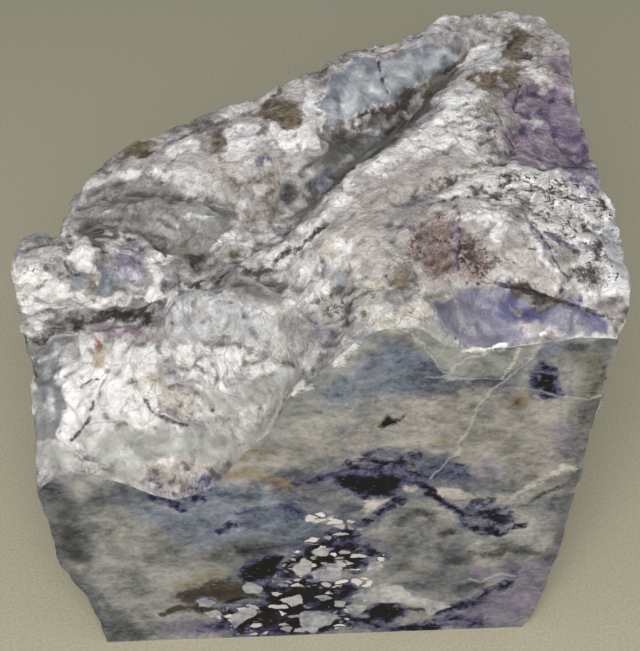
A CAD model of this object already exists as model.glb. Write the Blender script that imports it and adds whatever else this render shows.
"""A hand-sized block of tiffany stone: broken top, sawn base, sawn and polished front.

The dressed stone is one mesh laid over the frame's solid. Lengths are in millimetres
until the mesh is finished. The stone stands on z = 0 and its polished front looks along -Y.
"""
import math

import bmesh
import bpy
import numpy as np
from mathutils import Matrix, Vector, geometry


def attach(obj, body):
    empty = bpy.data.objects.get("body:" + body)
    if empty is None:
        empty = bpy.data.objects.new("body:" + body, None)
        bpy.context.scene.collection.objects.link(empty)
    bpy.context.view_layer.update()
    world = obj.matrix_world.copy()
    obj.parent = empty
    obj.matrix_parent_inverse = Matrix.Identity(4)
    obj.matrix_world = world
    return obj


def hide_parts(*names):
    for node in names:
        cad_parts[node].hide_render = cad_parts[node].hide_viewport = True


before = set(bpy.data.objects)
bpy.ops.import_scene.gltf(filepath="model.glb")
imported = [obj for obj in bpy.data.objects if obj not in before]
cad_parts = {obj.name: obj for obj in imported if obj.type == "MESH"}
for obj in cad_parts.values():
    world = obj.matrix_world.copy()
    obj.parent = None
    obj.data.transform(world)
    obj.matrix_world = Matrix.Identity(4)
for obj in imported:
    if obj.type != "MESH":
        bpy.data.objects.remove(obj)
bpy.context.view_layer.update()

MM = 0.001

# ---- the block: its broken skin ----------------------------------------------------------
# One lump of opalised fluorite and chalky clay, split from its nodule. The broken skin is
# its top and its sides, refined from the frame's solid until it can hold the stone's grain.
STONE = "tiffany_stone"
SAWN_GAP = 0.03             # how near a sawn plane a point has to be to belong to it
EDGE_BROKEN = 0.78          # edge lengths of the mesh on the broken top and on the sides
EDGE_WALL = 1.9
EDGE_CRACK = 0.42           # and beside a crack
CRACK_REACH = 1.0
FINE_DEPTH = 30.0           # the broken slopes this close behind the front are fine too
FINE_FLOOR = 40.0
SPLIT_ABOVE = 1.3           # an edge this many times too long is halved
MELT = 0.25                 # the solid's corners closer than this are one
SOFTENING = (6, 0.5)        # rounds and strength that take the solid's facets off

# Open cracks, each as a line over the surface and the half width of its dark trace.
CRACKS = {
    "shoulder crack": ([(30.6, -41.9, 94.9), (34.2, -42, 94.8), (37.6, -42.3, 94.7), (40.2, -42.7, 93.9),
        (43.2, -43.4, 93.3), (46, -44.9, 93.1), (48.9, -45.7, 92.9), (52.8, -46.8, 92.4),
        (56.7, -48.2, 91), (61.1, -49.3, 89.9)], 0.3),
    "block crack": ([(30, -25.6, 102), (30.1, -30.5, 101.8), (29.2, -35.1, 100.8), (28.8, -37.9, 98.7),
        (29.4, -41.1, 96.6)], 0.28),
    "violet arc": ([(41.8, -29.4, 102.6), (45.2, -30.8, 101.1), (47, -37.8, 100.7), (49, -42, 98.4),
        (50.8, -43.1, 96.6)], 0.28),
    "corner crack": ([(47.4, -45.3, 92.9), (49.3, -44.6, 94.8), (51.2, -42.9, 96.4)], 0.2),
    "peak crack": ([(41.8, 8.7, 104.1), (42.9, 4.8, 103.5), (43.4, 1, 102.3), (44.5, 0.4, 99.9)], 0.24),
    "peak hair crack": ([(49.2, 18.7, 103.8), (48, 14.4, 102.9), (46.5, 9.7, 101.8)], 0.16),
    "knob crack": ([(-51.6, -7.3, 83.5), (-51.2, -15.8, 86.4), (-51.3, -21.6, 87.7),
        (-51, -22.4, 85.6)], 0.34),
    "slope crack": ([(-36.1, -40.7, 65.2), (-34.3, -41.8, 63.3), (-32.7, -42.4, 61.5),
        (-29.2, -41.7, 58.6), (-27.3, -41.8, 58.9)], 0.34),
    "left slope crack": ([(-46.9, -39.9, 63.8), (-47.9, -41.9, 61.1), (-49.6, -43.5, 59.2),
        (-51.3, -45.2, 58.6)], 0.24),
    "upper slope crack": ([(-49.4, -36.9, 65.7), (-47.3, -35.9, 67.1), (-45.7, -35.9, 67.8)], 0.2),
    "first stratum": ([(40.3, -18.6, 103), (42.8, -17.4, 103.1), (45.7, -17.8, 102.8),
        (48.1, -19.1, 101.8), (51.2, -20.6, 101.2), (55.2, -21.1, 100.7), (59.1, -21.7, 100.2),
        (62.2, -23.9, 99.4)], 0.3),
    "second stratum": ([(25, -24.3, 102.1), (28.9, -22.7, 102.3), (33.1, -22.1, 102), (37.5, -22.8, 102.5),
        (41.1, -23.9, 102.2)], 0.22),
    "glass joint": ([(18, 34.4, 101), (18.4, 30.6, 100), (19.1, 27.1, 99), (20, 25.9, 97.5)], 0.22),
}


def skin_of(node):
    """Points and triangles of a frame node without its sawn faces, in millimetres."""
    form = bmesh.new()
    form.from_mesh(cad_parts[node].data)
    bmesh.ops.scale(form, vec=(1 / MM, 1 / MM, 1 / MM), verts=form.verts)
    bmesh.ops.remove_doubles(form, verts=form.verts, dist=0.01)
    front = min(v.co.y for v in form.verts)
    sawn = [f for f in form.faces
            if all(v.co.y < front + SAWN_GAP for v in f.verts)
            or all(v.co.z < SAWN_GAP for v in f.verts)]
    bmesh.ops.delete(form, geom=sawn, context="FACES")
    bmesh.ops.dissolve_degenerate(form, edges=form.edges, dist=MELT)
    bmesh.ops.triangulate(form, faces=form.faces)
    for corner in form.verts:
        if corner.is_boundary:
            on_front = corner.co.y < front + 2 * MELT
            corner.co.y = front if on_front else corner.co.y
            corner.co.z = 0.0 if corner.co.z < 2 * MELT else corner.co.z
    form.verts.index_update()
    points = np.array([v.co[:] for v in form.verts])
    faces = np.array([[v.index for v in f.verts] for f in form.faces])
    form.free()
    return points, faces


def edges_of(faces):
    """Each edge once, the numbers of every face's three edges, and how many faces meet there."""
    pairs = np.concatenate([faces[:, [0, 1]], faces[:, [1, 2]], faces[:, [2, 0]]])
    pairs = np.sort(pairs, axis=1)
    stride = faces.max() + 1
    keys, back, meeting = np.unique(pairs[:, 0] * stride + pairs[:, 1], return_inverse=True,
                                    return_counts=True)
    return np.stack([keys // stride, keys % stride], 1), back.reshape(3, -1).T, meeting


def face_normals(points, faces):
    """Normal of each face, as long as twice its area."""
    a, b, c = (points[faces[:, i]] for i in range(3))
    return np.cross(b - a, c - a)


def point_normals(points, faces):
    """Unit normal at each point."""
    across = face_normals(points, faces)
    total = np.zeros_like(points)
    for corner in range(3):
        for axis in range(3):
            total[:, axis] += np.bincount(faces[:, corner], across[:, axis], len(points))
    return total / np.maximum(np.linalg.norm(total, axis=1), 1e-9)[:, None]


def gap_to_parts(points, parts):
    """Distance from each point to the nearest of some straight parts, given as pairs of ends."""
    best = np.full(len(points), np.inf)
    for a, b in parts:
        along = b - a
        share = ((points - a) @ along / max(along @ along, 1e-9)).clip(0, 1)
        best = np.minimum(best, ((points - a - share[:, None] * along) ** 2).sum(axis=1))
    return np.sqrt(best)


def gap_to_line(points, line):
    """Distance from each point to a line of points."""
    line = np.asarray(line, float)
    return gap_to_parts(points, zip(line, line[1:]))


def wanted_edge(points, normals):
    """How long the mesh's edges may be at each place."""
    x, y, z = points.T
    wanted = np.full(len(points), EDGE_WALL)
    broken = (normals[:, 2] > 0.25) | (y < low[1] + FINE_DEPTH)
    wanted[broken & (z > FINE_FLOOR)] = EDGE_BROKEN
    for line, _ in CRACKS.values():
        near = np.abs(points - np.mean(line, axis=0)).max(axis=1) < np.ptp(line, axis=0).max() + 2
        beside = np.zeros(len(points), bool)
        beside[near] = gap_to_line(points[near], line) < CRACK_REACH
        wanted[beside] = EDGE_CRACK
    return wanted


def halve_longest(points, faces):
    """Halve every edge that is too long and the longest of a triangle. False when none is."""
    edges, sides, _ = edges_of(faces)
    a, b = points[edges[:, 0]], points[edges[:, 1]]
    length = np.linalg.norm(a - b, axis=1)
    normals = point_normals(points, faces)
    wanted = wanted_edge((a + b) / 2, normals[edges[:, 0]] + normals[edges[:, 1]])
    longest = np.zeros(len(edges), bool)
    longest[sides[np.arange(len(faces)), length[sides].argmax(axis=1)]] = True
    split = longest & (length > SPLIT_ABOVE * wanted)
    if not split.any():
        return points, faces, False
    middle = np.full(len(edges), -1)
    middle[split] = len(points) + np.arange(split.sum())
    points = np.concatenate([points, (a + b)[split] / 2])
    mids = middle[sides]
    made = [faces[(mids < 0).all(axis=1)]]
    for turn in range(3):
        order = [turn, (turn + 1) % 3, (turn + 2) % 3]
        p, q, r = faces[:, order].T
        pq, qr, rp = mids[:, order].T
        one = (pq >= 0) & (qr < 0) & (rp < 0)
        made += [np.stack([p, pq, r], 1)[one], np.stack([pq, q, r], 1)[one]]
        two = (pq >= 0) & (qr >= 0) & (rp < 0)
        made += [np.stack([pq, q, qr], 1)[two]]
        straight = np.linalg.norm(points[p] - points[qr], axis=1)
        crossed = np.linalg.norm(points[pq] - points[r], axis=1)
        first = two & (straight < crossed)
        made += [np.stack([p, pq, qr], 1)[first], np.stack([p, qr, r], 1)[first]]
        other = two & ~first
        made += [np.stack([p, pq, r], 1)[other], np.stack([pq, qr, r], 1)[other]]
    p, q, r = faces.T
    pq, qr, rp = mids.T
    three = (mids >= 0).all(axis=1)
    for corners in ((p, pq, rp), (pq, q, qr), (rp, qr, r), (pq, qr, rp)):
        made.append(np.stack(corners, 1)[three])
    return points, np.concatenate(made), True


def rim_of(points, faces):
    """Which edges and which points lie on the edge of the skin."""
    edges, _, meeting = edges_of(faces)
    on_rim = np.zeros(len(points), bool)
    on_rim[edges[meeting == 1].ravel()] = True
    return edges, meeting == 1, on_rim


def relax(points, faces, rounds, strength):
    """Draw each point towards the middle of its neighbours. Points of a sawn edge look only
    at their neighbours along it, and the two corners of the sawn edges stay."""
    edges, rim_edge, on_rim = rim_of(points, faces)
    start = np.concatenate([edges[:, 0], edges[:, 1]])
    end = np.concatenate([edges[:, 1], edges[:, 0]])
    along = np.concatenate([rim_edge, rim_edge])
    keep = ~on_rim[start] | along
    start, end = start[keep], end[keep]
    count = np.maximum(np.bincount(start, minlength=len(points)), 1)
    held = on_rim & (points[:, 1] < low[1] + SAWN_GAP) & (points[:, 2] < SAWN_GAP)
    for _ in range(rounds):
        middle = np.stack([np.bincount(start, points[end, i], len(points)) for i in range(3)], 1)
        step = (middle / count[:, None] - points) * strength
        step[held] = 0
        points = points + step
    return points


points, faces = skin_of(STONE)
low = points.min(axis=0)
more = True
while more:
    points, faces, more = halve_longest(points, faces)
points = relax(points, faces, *SOFTENING)


# ---- how the stone broke -----------------------------------------------------------------
# Opal and clay break in curved chips and ragged steps, and split along the fine layers that
# run through them. The fibre lines say which way the layers run at each place.
FLOW = [
    [(-46, 13, 87), (-39, 16, 90), (-28, 20, 93), (-14, 24, 95), (2, 29, 99)],
    [(-49, 6, 85), (-42, 10, 88), (-34, 8, 90), (-25, 3, 90), (-14, -1, 91), (-6, 0, 92), (4, 8, 94)],
    [(-50, 4, 84), (-44, 7, 86), (-34, 4, 88), (-26, -1, 88), (-18, -9, 88), (-15, -15, 86)],
    [(-51, -3, 84), (-43, -2, 85), (-34, -6, 86), (-27, -11, 85), (-22, -17, 83)],
    [(-36, -13, 86), (-30, -14, 82), (-24, -17, 81), (-15, -19, 85), (-6, -26, 94), (0, -6, 86)],
    [(-2, -25, 96), (5, -14, 99), (12, -6, 102), (24, 21, 93), (32, 31, 96), (43, 40, 101)],
    [(-2, -27, 96), (5, -19, 100), (13, -12, 102), (22, -4, 104), (32, 5, 105), (41, 13, 104)],
    [(4, -29, 97), (11, -22, 101), (20, -17, 103), (30, -11, 104), (41, -6, 103)],
    [(18, -37, 97), (21, -30, 101), (29, -25, 102), (38, -24, 102), (45, -28, 102), (48, -38, 100),
     (51, -44, 96)],
    [(35, -20, 103), (44, -16, 103), (52, -20, 102), (60, -22, 99), (63, -34, 97)],
    [(25, -46, 92), (35, -44, 92), (47, -46, 91), (58, -49, 89)],
    [(13, -50, 92), (21, -45, 94), (27, -43, 94)],
    [(-31, -34, 76), (-28, -29, 82), (-20, -24, 83), (-10, -36, 86), (-5, -42, 83)],
    [(-61, -21, 88), (-55, -20, 89), (-47, -14, 87), (-38, -14, 86), (-31, -21, 84)],
    [(-62, -26, 72), (-54, -23, 72), (-43, -22, 73), (-33, -29, 77)],
    [(-54, -29, 67), (-52, -39, 64), (-50, -45, 58)],
    [(-45, -30, 70), (-39, -38, 67), (-30, -41, 60)],
    [(-51, -47, 58), (-39, -44, 57), (-24, -45, 56), (-10, -51, 65)],
    [(-24, -39, 69), (-11, -43, 74), (1, -48, 84), (7, -50, 88)],
    [(48, 10, 102), (53, 16, 102), (60, 11, 101), (61, -2, 99)],
    [(35, 43, 103), (43, 46, 103), (52, 44, 104), (60, 33, 105)],
    [(-55, -15, 62), (-52, 10, 60), (-30, 32, 64), (0, 42, 62), (36, 50, 70)],
    [(-48, -15, 25), (-44, 10, 22), (-20, 27, 28), (5, 36, 26), (30, 38, 34)],
    [(57, 40, 78), (57, 10, 70), (58, -20, 66), (58, -45, 74)],
    [(44, 25, 40), (50, 0, 30), (51, -25, 34), (51, -45, 26)]]
FIBRE_STEP = 0.42           # the layers' grain is drawn out along them in steps
FIBRE_STEPS = 9
FIBRE_SIZE = 0.95
FLOW_REACH = 3.0

# How strongly each sort of stone is broken up: chips, layers, grains.
PLAIN_BREAK = (0.65, 0.25, 0.3)
BREAKS = {
    "chalk": (1.0, 0.2, 0.35), "pink": (0.35, 0.15, 0.12), "olive": (0.65, 0.4, 0.5),
    "umber": (0.8, 0.7, 0.5), "violet": (0.55, 0.25, 0.35), "grey": (0.7, 0.8, 0.5),
    "slate": (0.4, 0.1, 0.08), "ice": (0.35, 0.05, 0.04), "lilac": (0.25, 0.1, 0.03),
    "pepper": (1.0, 0.8, 1.0), "pearl": (0.55, 0.15, 0.9), "crust": (1.0, 0.3, 1.6),
    "rose": (0.5, 0.25, 0.5), "cream": (0.75, 0.2, 0.5), "mauve": (0.5, 0.2, 0.4),
    "bluet": (0.4, 0.15, 0.1), "dusk": (0.15, 0.05, 0.02),
    "gloss": (0.3, 0.08, 0.04), "shade": (0.5, 0.5, 0.2), "haze": (0.3, 0.1, 0.1),
    "sage": (0.3, 0.15, 0.12)}
WALL_BREAK = (0.85, 0.5, 0.35)
RELIEF = {"big": (6.5, 0.82), "chip": (2.9, 0.45), "layer": 0.34, "grain": (1.3, 0.45),
          "dust": (0.9, 0.1)}
CRACK_DEPTH = 0.45
SIDE_RELIEF = (13.0, 0.85)
WALL_BEHIND = (12, 14)      # the walls start this far behind the front, in full the next further on
WALL_BELOW = (80, 12)       # they start below this height, in full the next further down
WALL_STEEP = (0.2, 0.3)     # a face turned up less than this is wall too, in full the next less
WALL_KEEP = 8               # but not this close behind the front
PLAIN_WEIGHT = 0.35         # how much plain stone stays in the mix of sorts
RIM_SHARE = 0.7             # the relief is weaker along the sawn faces' edges
HOLLOW_SPAN = 0.16          # from the sharpest bump to the deepest hollow that the colours show


def scatter(cells, seed):
    """A repeatable random number from -1 to 1 for each whole-numbered cell."""
    mixed = (cells.astype(np.int64) @ np.array([73856093, 19349663, 83492791])) + seed * 9176263
    mixed = (mixed ^ (mixed >> 13)) * 1274126177 & 0x7FFFFFFF
    mixed = (mixed ^ (mixed >> 15)) * 668265263 & 0x7FFFFFFF
    mixed = mixed ^ (mixed >> 16)
    return mixed / 0x3FFFFFFF - 1.0


def cloud(places, size, seed):
    """Soft noise from about -1 to 1 whose lumps are of one size."""
    p = places / size + seed * 7.31
    cell = np.floor(p)
    f = p - cell
    f = f * f * f * (f * (f * 6 - 15) + 10)
    total = np.zeros(len(p))
    for corner in np.ndindex(2, 2, 2):
        share = np.prod(np.where(np.array(corner), f, 1 - f), axis=1)
        total += share * scatter(cell + corner, seed)
    return total * 1.4


def chips(places, size, seed):
    """Flat chips: each random cell has its own tilt and level, with blunt steps between."""
    p = places / size + seed * 3.77
    cell = np.floor(p)
    best = np.full((2, len(p)), 9.0)
    level = np.zeros((2, len(p)))
    for offset in np.ndindex(3, 3, 3):
        near = cell + np.array(offset) - 1
        jitter = np.stack([scatter(near, seed + k) for k in (11, 12, 13)], 1)
        away = p - near - 0.5 - 0.45 * jitter
        gap = (away ** 2).sum(axis=1)
        tilt = np.stack([scatter(near, seed + k) for k in (21, 22, 23)], 1)
        value = 1.1 * (tilt * away).sum(axis=1) + 0.6 * scatter(near, seed + 31)
        nearer = gap < best[0]
        second = ~nearer & (gap < best[1])
        best[1] = np.where(nearer, best[0], np.where(second, gap, best[1]))
        level[1] = np.where(nearer, level[0], np.where(second, value, level[1]))
        best[0] = np.where(nearer, gap, best[0])
        level[0] = np.where(nearer, value, level[0])
    apart = np.sqrt(best[1]) - np.sqrt(best[0])
    share = 0.5 * np.exp(-apart * 9.0)
    return level[0] * (1 - share) + level[1] * share, np.sqrt(best[0])


def run_of_layers(places):
    """Unit direction of the stone's layers at each place, blended from the flow lines."""
    total = np.zeros((len(places), 3))
    for line in FLOW:
        line = np.asarray(line, float)
        for a, b in zip(line, line[1:]):
            way = (b - a) / np.linalg.norm(b - a)
            way = way * (1 if way[0] >= 0 else -1)
            gap = ((places - (a + b) / 2) ** 2).sum(axis=1)
            total += way * (np.linalg.norm(b - a) / (gap + FLOW_REACH ** 2) ** 2)[:, None]
    return total / np.maximum(np.linalg.norm(total, axis=1), 1e-12)[:, None]


def fibre(places, size, seed):
    """Noise drawn out along the layers, about -1 to 1."""
    way = run_of_layers(places)
    total = np.zeros(len(places))
    for step in range(-FIBRE_STEPS, FIBRE_STEPS + 1):
        total += cloud(places + way * (step * FIBRE_STEP * size / FIBRE_SIZE), size, seed)
    return total / math.sqrt(2 * FIBRE_STEPS + 1) / 1.1


def split_layers(places):
    """The layers' ledges, which show more in some places than in others."""
    return fibre(places, FIBRE_SIZE, 4) * np.clip(0.5 + 0.8 * cloud(places, 6.0, 17), 0, 1.3)


# ---- what the stone is made of, place by place ----------------------------------------------
# Chalk, opal, fluorite, manganese and iron stains lie in patches and streaks. Each is an
# outline or a line of points on the stone, with its blur or half width and its strength.
def patch(outline, strength=1.0, width=1.1):
    """A mark that fills an outline. Its edge fades over the width."""
    return True, width, strength, outline


def streak(path, strength=1.0, width=0.9):
    """A mark along a path, strongest in the middle and gone at twice the width."""
    return False, width, strength, path


# The top runs from the knob and its slot at the left, over the slab and the swirl, up past the
# glassy cliff, the groove and its ridge to the peak, then down the strata to the shoulder.
SKIN_MARKS = {}
SKIN_MARKS["chalk"] = [
    # slab
    patch([(-31, 13, 92), (-26, 18, 92), (-24, 14, 93), (-28, 10, 92)]),
    patch([(-18, 16, 95), (-14, 18, 95), (-11, 17, 96), (-10, 10, 95), (-13, 6, 94), (-17, 7, 93)]),
    patch([(-9, 15, 96), (-3, 13, 96), (-1, 17, 97), (1, 26, 98), (4, 23, 98), (5, 19, 97), (3, 9, 96),
        (-1, 8, 94), (-9, 9, 95)]),
    streak([(-45, 7, 86), (-41, 9, 89), (-36, 9, 90), (-31, 6, 90), (-25, 3, 90)]),
    streak([(-20, 21, 94), (-16, 23, 95), (-13, 25, 96)], 0.8, 0.7),
    # swirl
    streak([(-49, -2, 84), (-45, 0, 86), (-41, -1, 87)], 0.6),
    streak([(-29, -8, 87), (-25, -9, 87), (-22, -9, 88)], 0.7),
    streak([(-21, -15, 85), (-16, -14, 87)], 0.7, 1.2),
    # groove
    streak([(-2, -24, 97), (0, -24, 97), (2, -23, 98)]),
    # ridge
    patch([(12, -10, 102), (18, -6, 103), (22, -3, 104), (27, 3, 104), (31, 9, 105), (37, 14, 105),
        (43, 13, 104), (36, 8, 105), (32, 4, 105), (30, -2, 105), (24, -7, 104), (17, -11, 103),
        (11, -13, 101), (8, -20, 100), (3, -24, 99), (-1, -27, 95), (-3, -27, 95), (2, -22, 99),
        (7, -15, 100)], 1.05),
    streak([(31, 10, 105), (34, 11, 105), (38, 12, 105)], 1.3, 1.4),
    streak([(-2, -27, 96), (-6, -27, 93), (-10, -27, 91), (-14, -18, 85)], 1.1, 1.6),
    # foot
    streak([(-14, -16, 85), (-11, -13, 85), (-9, -11, 85)], 1, 1.4),
    # peak
    patch([(38, 37, 99), (42, 41, 101), (47, 43, 103), (48, 36, 103), (46, 27, 105), (42, 23, 105)], 0.85),
    streak([(32, 44, 103), (35, 49, 103), (39, 50, 104)], 0.9),
    # flank
    patch([(27, -1, 105), (34, 3, 105), (39, -4, 104), (36, -11, 104), (28, -8, 104), (20, -10, 103),
        (15, -12, 102), (18, -6, 103)], 0.75, 1.4),
    # strata
    patch([(40, -18, 103), (53, -12, 102), (62, -19, 100), (63, -30, 98), (63, -43, 96), (58, -46, 93),
        (54, -45, 94), (51, -40, 98), (48, -32, 100), (43, -26, 102)], 0.62, 1.2),
    # beside the lozenge
    streak([(46, -33, 100), (49, -31, 100), (52, -32, 100), (53, -37, 99)], 1, 1.2),
    # shoulder
    patch([(31, -29, 103), (39, -29, 103), (42, -33, 101), (38, -35, 101), (35, -33, 102)], 0.8),
    streak([(45, -38, 100), (47, -42, 99), (48, -44, 96)], 0.8, 1.2),
    # facet
    streak([(29, -51, 86), (32, -51, 85), (35, -51, 86), (40, -51, 87), (46, -51, 88)], 1, 0.7),
    # cream lumps
    streak([(5, -32, 97), (7, -33, 97), (10, -38, 96)], 1, 1.2),
    # above the boulder
    streak([(-10, -26, 91), (-4, -29, 91), (0, -34, 93), (1, -38, 89)], 0.8, 2.1),
    # below the boulder
    patch([(-28, -36, 74), (-22, -38, 76), (-13, -41, 79), (-9, -41, 81), (-11, -42, 78), (-17, -42, 73),
        (-18, -43, 69), (-23, -40, 70), (-28, -38, 70)], 0.8),
    # white crumbs
    streak([(-12, -43, 73), (-10, -42, 76), (-8, -43, 77)], 1.1, 1.2),
    streak([(-34, -40, 67), (-31, -38, 68), (-26, -38, 70), (-21, -40, 73)], 0.5, 1.9),
    # knob
    patch([(-61, -22, 87), (-57, -22, 86), (-52, -24, 81), (-45, -24, 82), (-36, -27, 81), (-34, -25, 83),
        (-33, -22, 85), (-35, -14, 86), (-29, -17, 83), (-30, -24, 82), (-33, -25, 78), (-40, -26, 80),
        (-46, -25, 79), (-54, -21, 72), (-62, -22, 72), (-63, -24, 79)], 1.05),
    patch([(-51, -7, 83), (-46, -18, 90), (-43, -21, 89), (-45, -22, 87), (-49, -22, 87), (-51, -20, 88)]),
    # chalk
    patch([(-53, -27, 68), (-48, -28, 71), (-44, -31, 70), (-36, -34, 74), (-32, -36, 73), (-34, -38, 70),
        (-37, -38, 68), (-35, -41, 65), (-29, -42, 59), (-35, -44, 58), (-45, -43, 59), (-50, -46, 58),
        (-54, -45, 59), (-53, -40, 63), (-54, -34, 67)], 1.1),
]
SKIN_MARKS["pink"] = [
    # slab
    patch([(-35, 15, 91), (-23, 15, 93), (-9, 26, 96), (2, 28, 99), (4, 8, 94), (-3, 3, 92), (-10, -5, 89),
        (-20, -1, 90), (-34, 7, 89), (-44, 8, 88)], 0.75, 1.9),
    # ridge
    patch([(9, -15, 101), (15, -10, 103), (26, -6, 104), (31, -1, 105), (38, -8, 104), (34, -15, 103),
        (25, -18, 103), (20, -21, 101), (14, -30, 100), (17, -39, 97), (12, -41, 94), (8, -30, 98),
        (4, -29, 98)], 0.9, 1.6),
    # peak
    patch([(53, 45, 104), (59, 44, 104), (62, 33, 105), (61, 23, 104), (56, 21, 104), (53, 27, 104),
        (55, 39, 104)], 0.9, 1.2),
    # shoulder
    patch([(19, -28, 101), (24, -25, 102), (31, -26, 102), (38, -29, 103), (43, -35, 101), (49, -44, 96),
        (37, -42, 95), (23, -43, 96), (17, -37, 97)], 0.85, 1.4),
    # flank
    patch([(-2, -28, 94), (4, -29, 97), (14, -31, 99), (17, -39, 97), (13, -40, 95), (10, -36, 97),
        (4, -31, 97), (-1, -32, 94)], 0.9, 1.2),
    # pinkish ledge
    streak([(-35, -36, 73), (-33, -38, 70), (-32, -39, 67)], 0.8, 1.2),
]
SKIN_MARKS["olive"] = [
    # slab
    patch([(-46, 13, 87), (-41, 16, 90), (-35, 19, 91), (-31, 17, 91), (-37, 14, 90), (-46, 14, 87)]),
    streak([(-32, 18, 92), (-27, 21, 93), (-20, 22, 94)], 0.85, 0.8),
    patch([(-23, 14, 93), (-20, 17, 94), (-18, 18, 95), (-18, 10, 94), (-19, 7, 93), (-21, 9, 93)], 0.8),
    patch([(-10, 19, 96), (-8, 25, 96), (-5, 28, 97), (-3, 23, 97), (-1, 18, 97), (-2, 15, 97),
        (-5, 14, 96), (-9, 17, 96)]),
    streak([(-19, 4, 92), (-14, 0, 92), (-10, 0, 92), (-6, 0, 91), (-9, -4, 90)], 0.9, 1.2),
    # swirl
    streak([(-32, -11, 83), (-28, -14, 83), (-23, -15, 82), (-17, -19, 85), (-13, -17, 85)], 0.8, 1.2),
    # cliff
    streak([(19, 22, 94), (23, 26, 94), (27, 28, 95), (29, 31, 96)], 1, 1.4),
    # groove
    streak([(-13, -9, 87), (-10, -7, 88), (-6, -5, 88)], 0.7, 1.2),
    # peak
    patch([(48, 44, 103), (51, 44, 104), (54, 38, 104), (52, 28, 104), (50, 24, 104), (47, 27, 105)], 0.95),
    patch([(37, 19, 105), (43, 23, 105), (48, 24, 105), (53, 23, 104), (49, 18, 104), (44, 14, 104),
        (39, 13, 105)], 0.9, 1.2),
    streak([(56, 41, 104), (55, 31, 104), (55, 22, 104)], 0.6, 1.4),
    # flank
    patch([(36, 10, 105), (41, 12, 104), (43, 8, 104), (40, 1, 104), (37, 3, 104), (35, 5, 105)], 0.45, 1.4),
    # shoulder
    streak([(43, -4, 101), (40, -10, 102), (34, -16, 102), (29, -18, 102), (23, -19, 102),
        (20, -20, 101)], 0.8),
    # strata
    streak([(43, -25, 102), (48, -27, 102), (52, -30, 100)], 0.7),
    streak([(38, -41, 98), (43, -43, 95), (47, -45, 95)], 0.6, 1.4),
    patch([(15, -38, 96), (20, -39, 97), (21, -42, 96), (17, -44, 95), (14, -41, 95)], 0.7, 1.2),
    streak([(27, -31, 101), (29, -30, 102)], 0.8, 1.2),
    # boulder
    streak([(-2, -28, 94), (-10, -28, 90), (-17, -25, 85), (-24, -23, 83)], 0.45, 1.2),
    # slot
    streak([(-43, -22, 74), (-37, -24, 75), (-33, -28, 77)], 0.7),
    streak([(27, -18, 102), (31, -17, 102), (35, -16, 102)], 0.7, 1.2),
]
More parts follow.
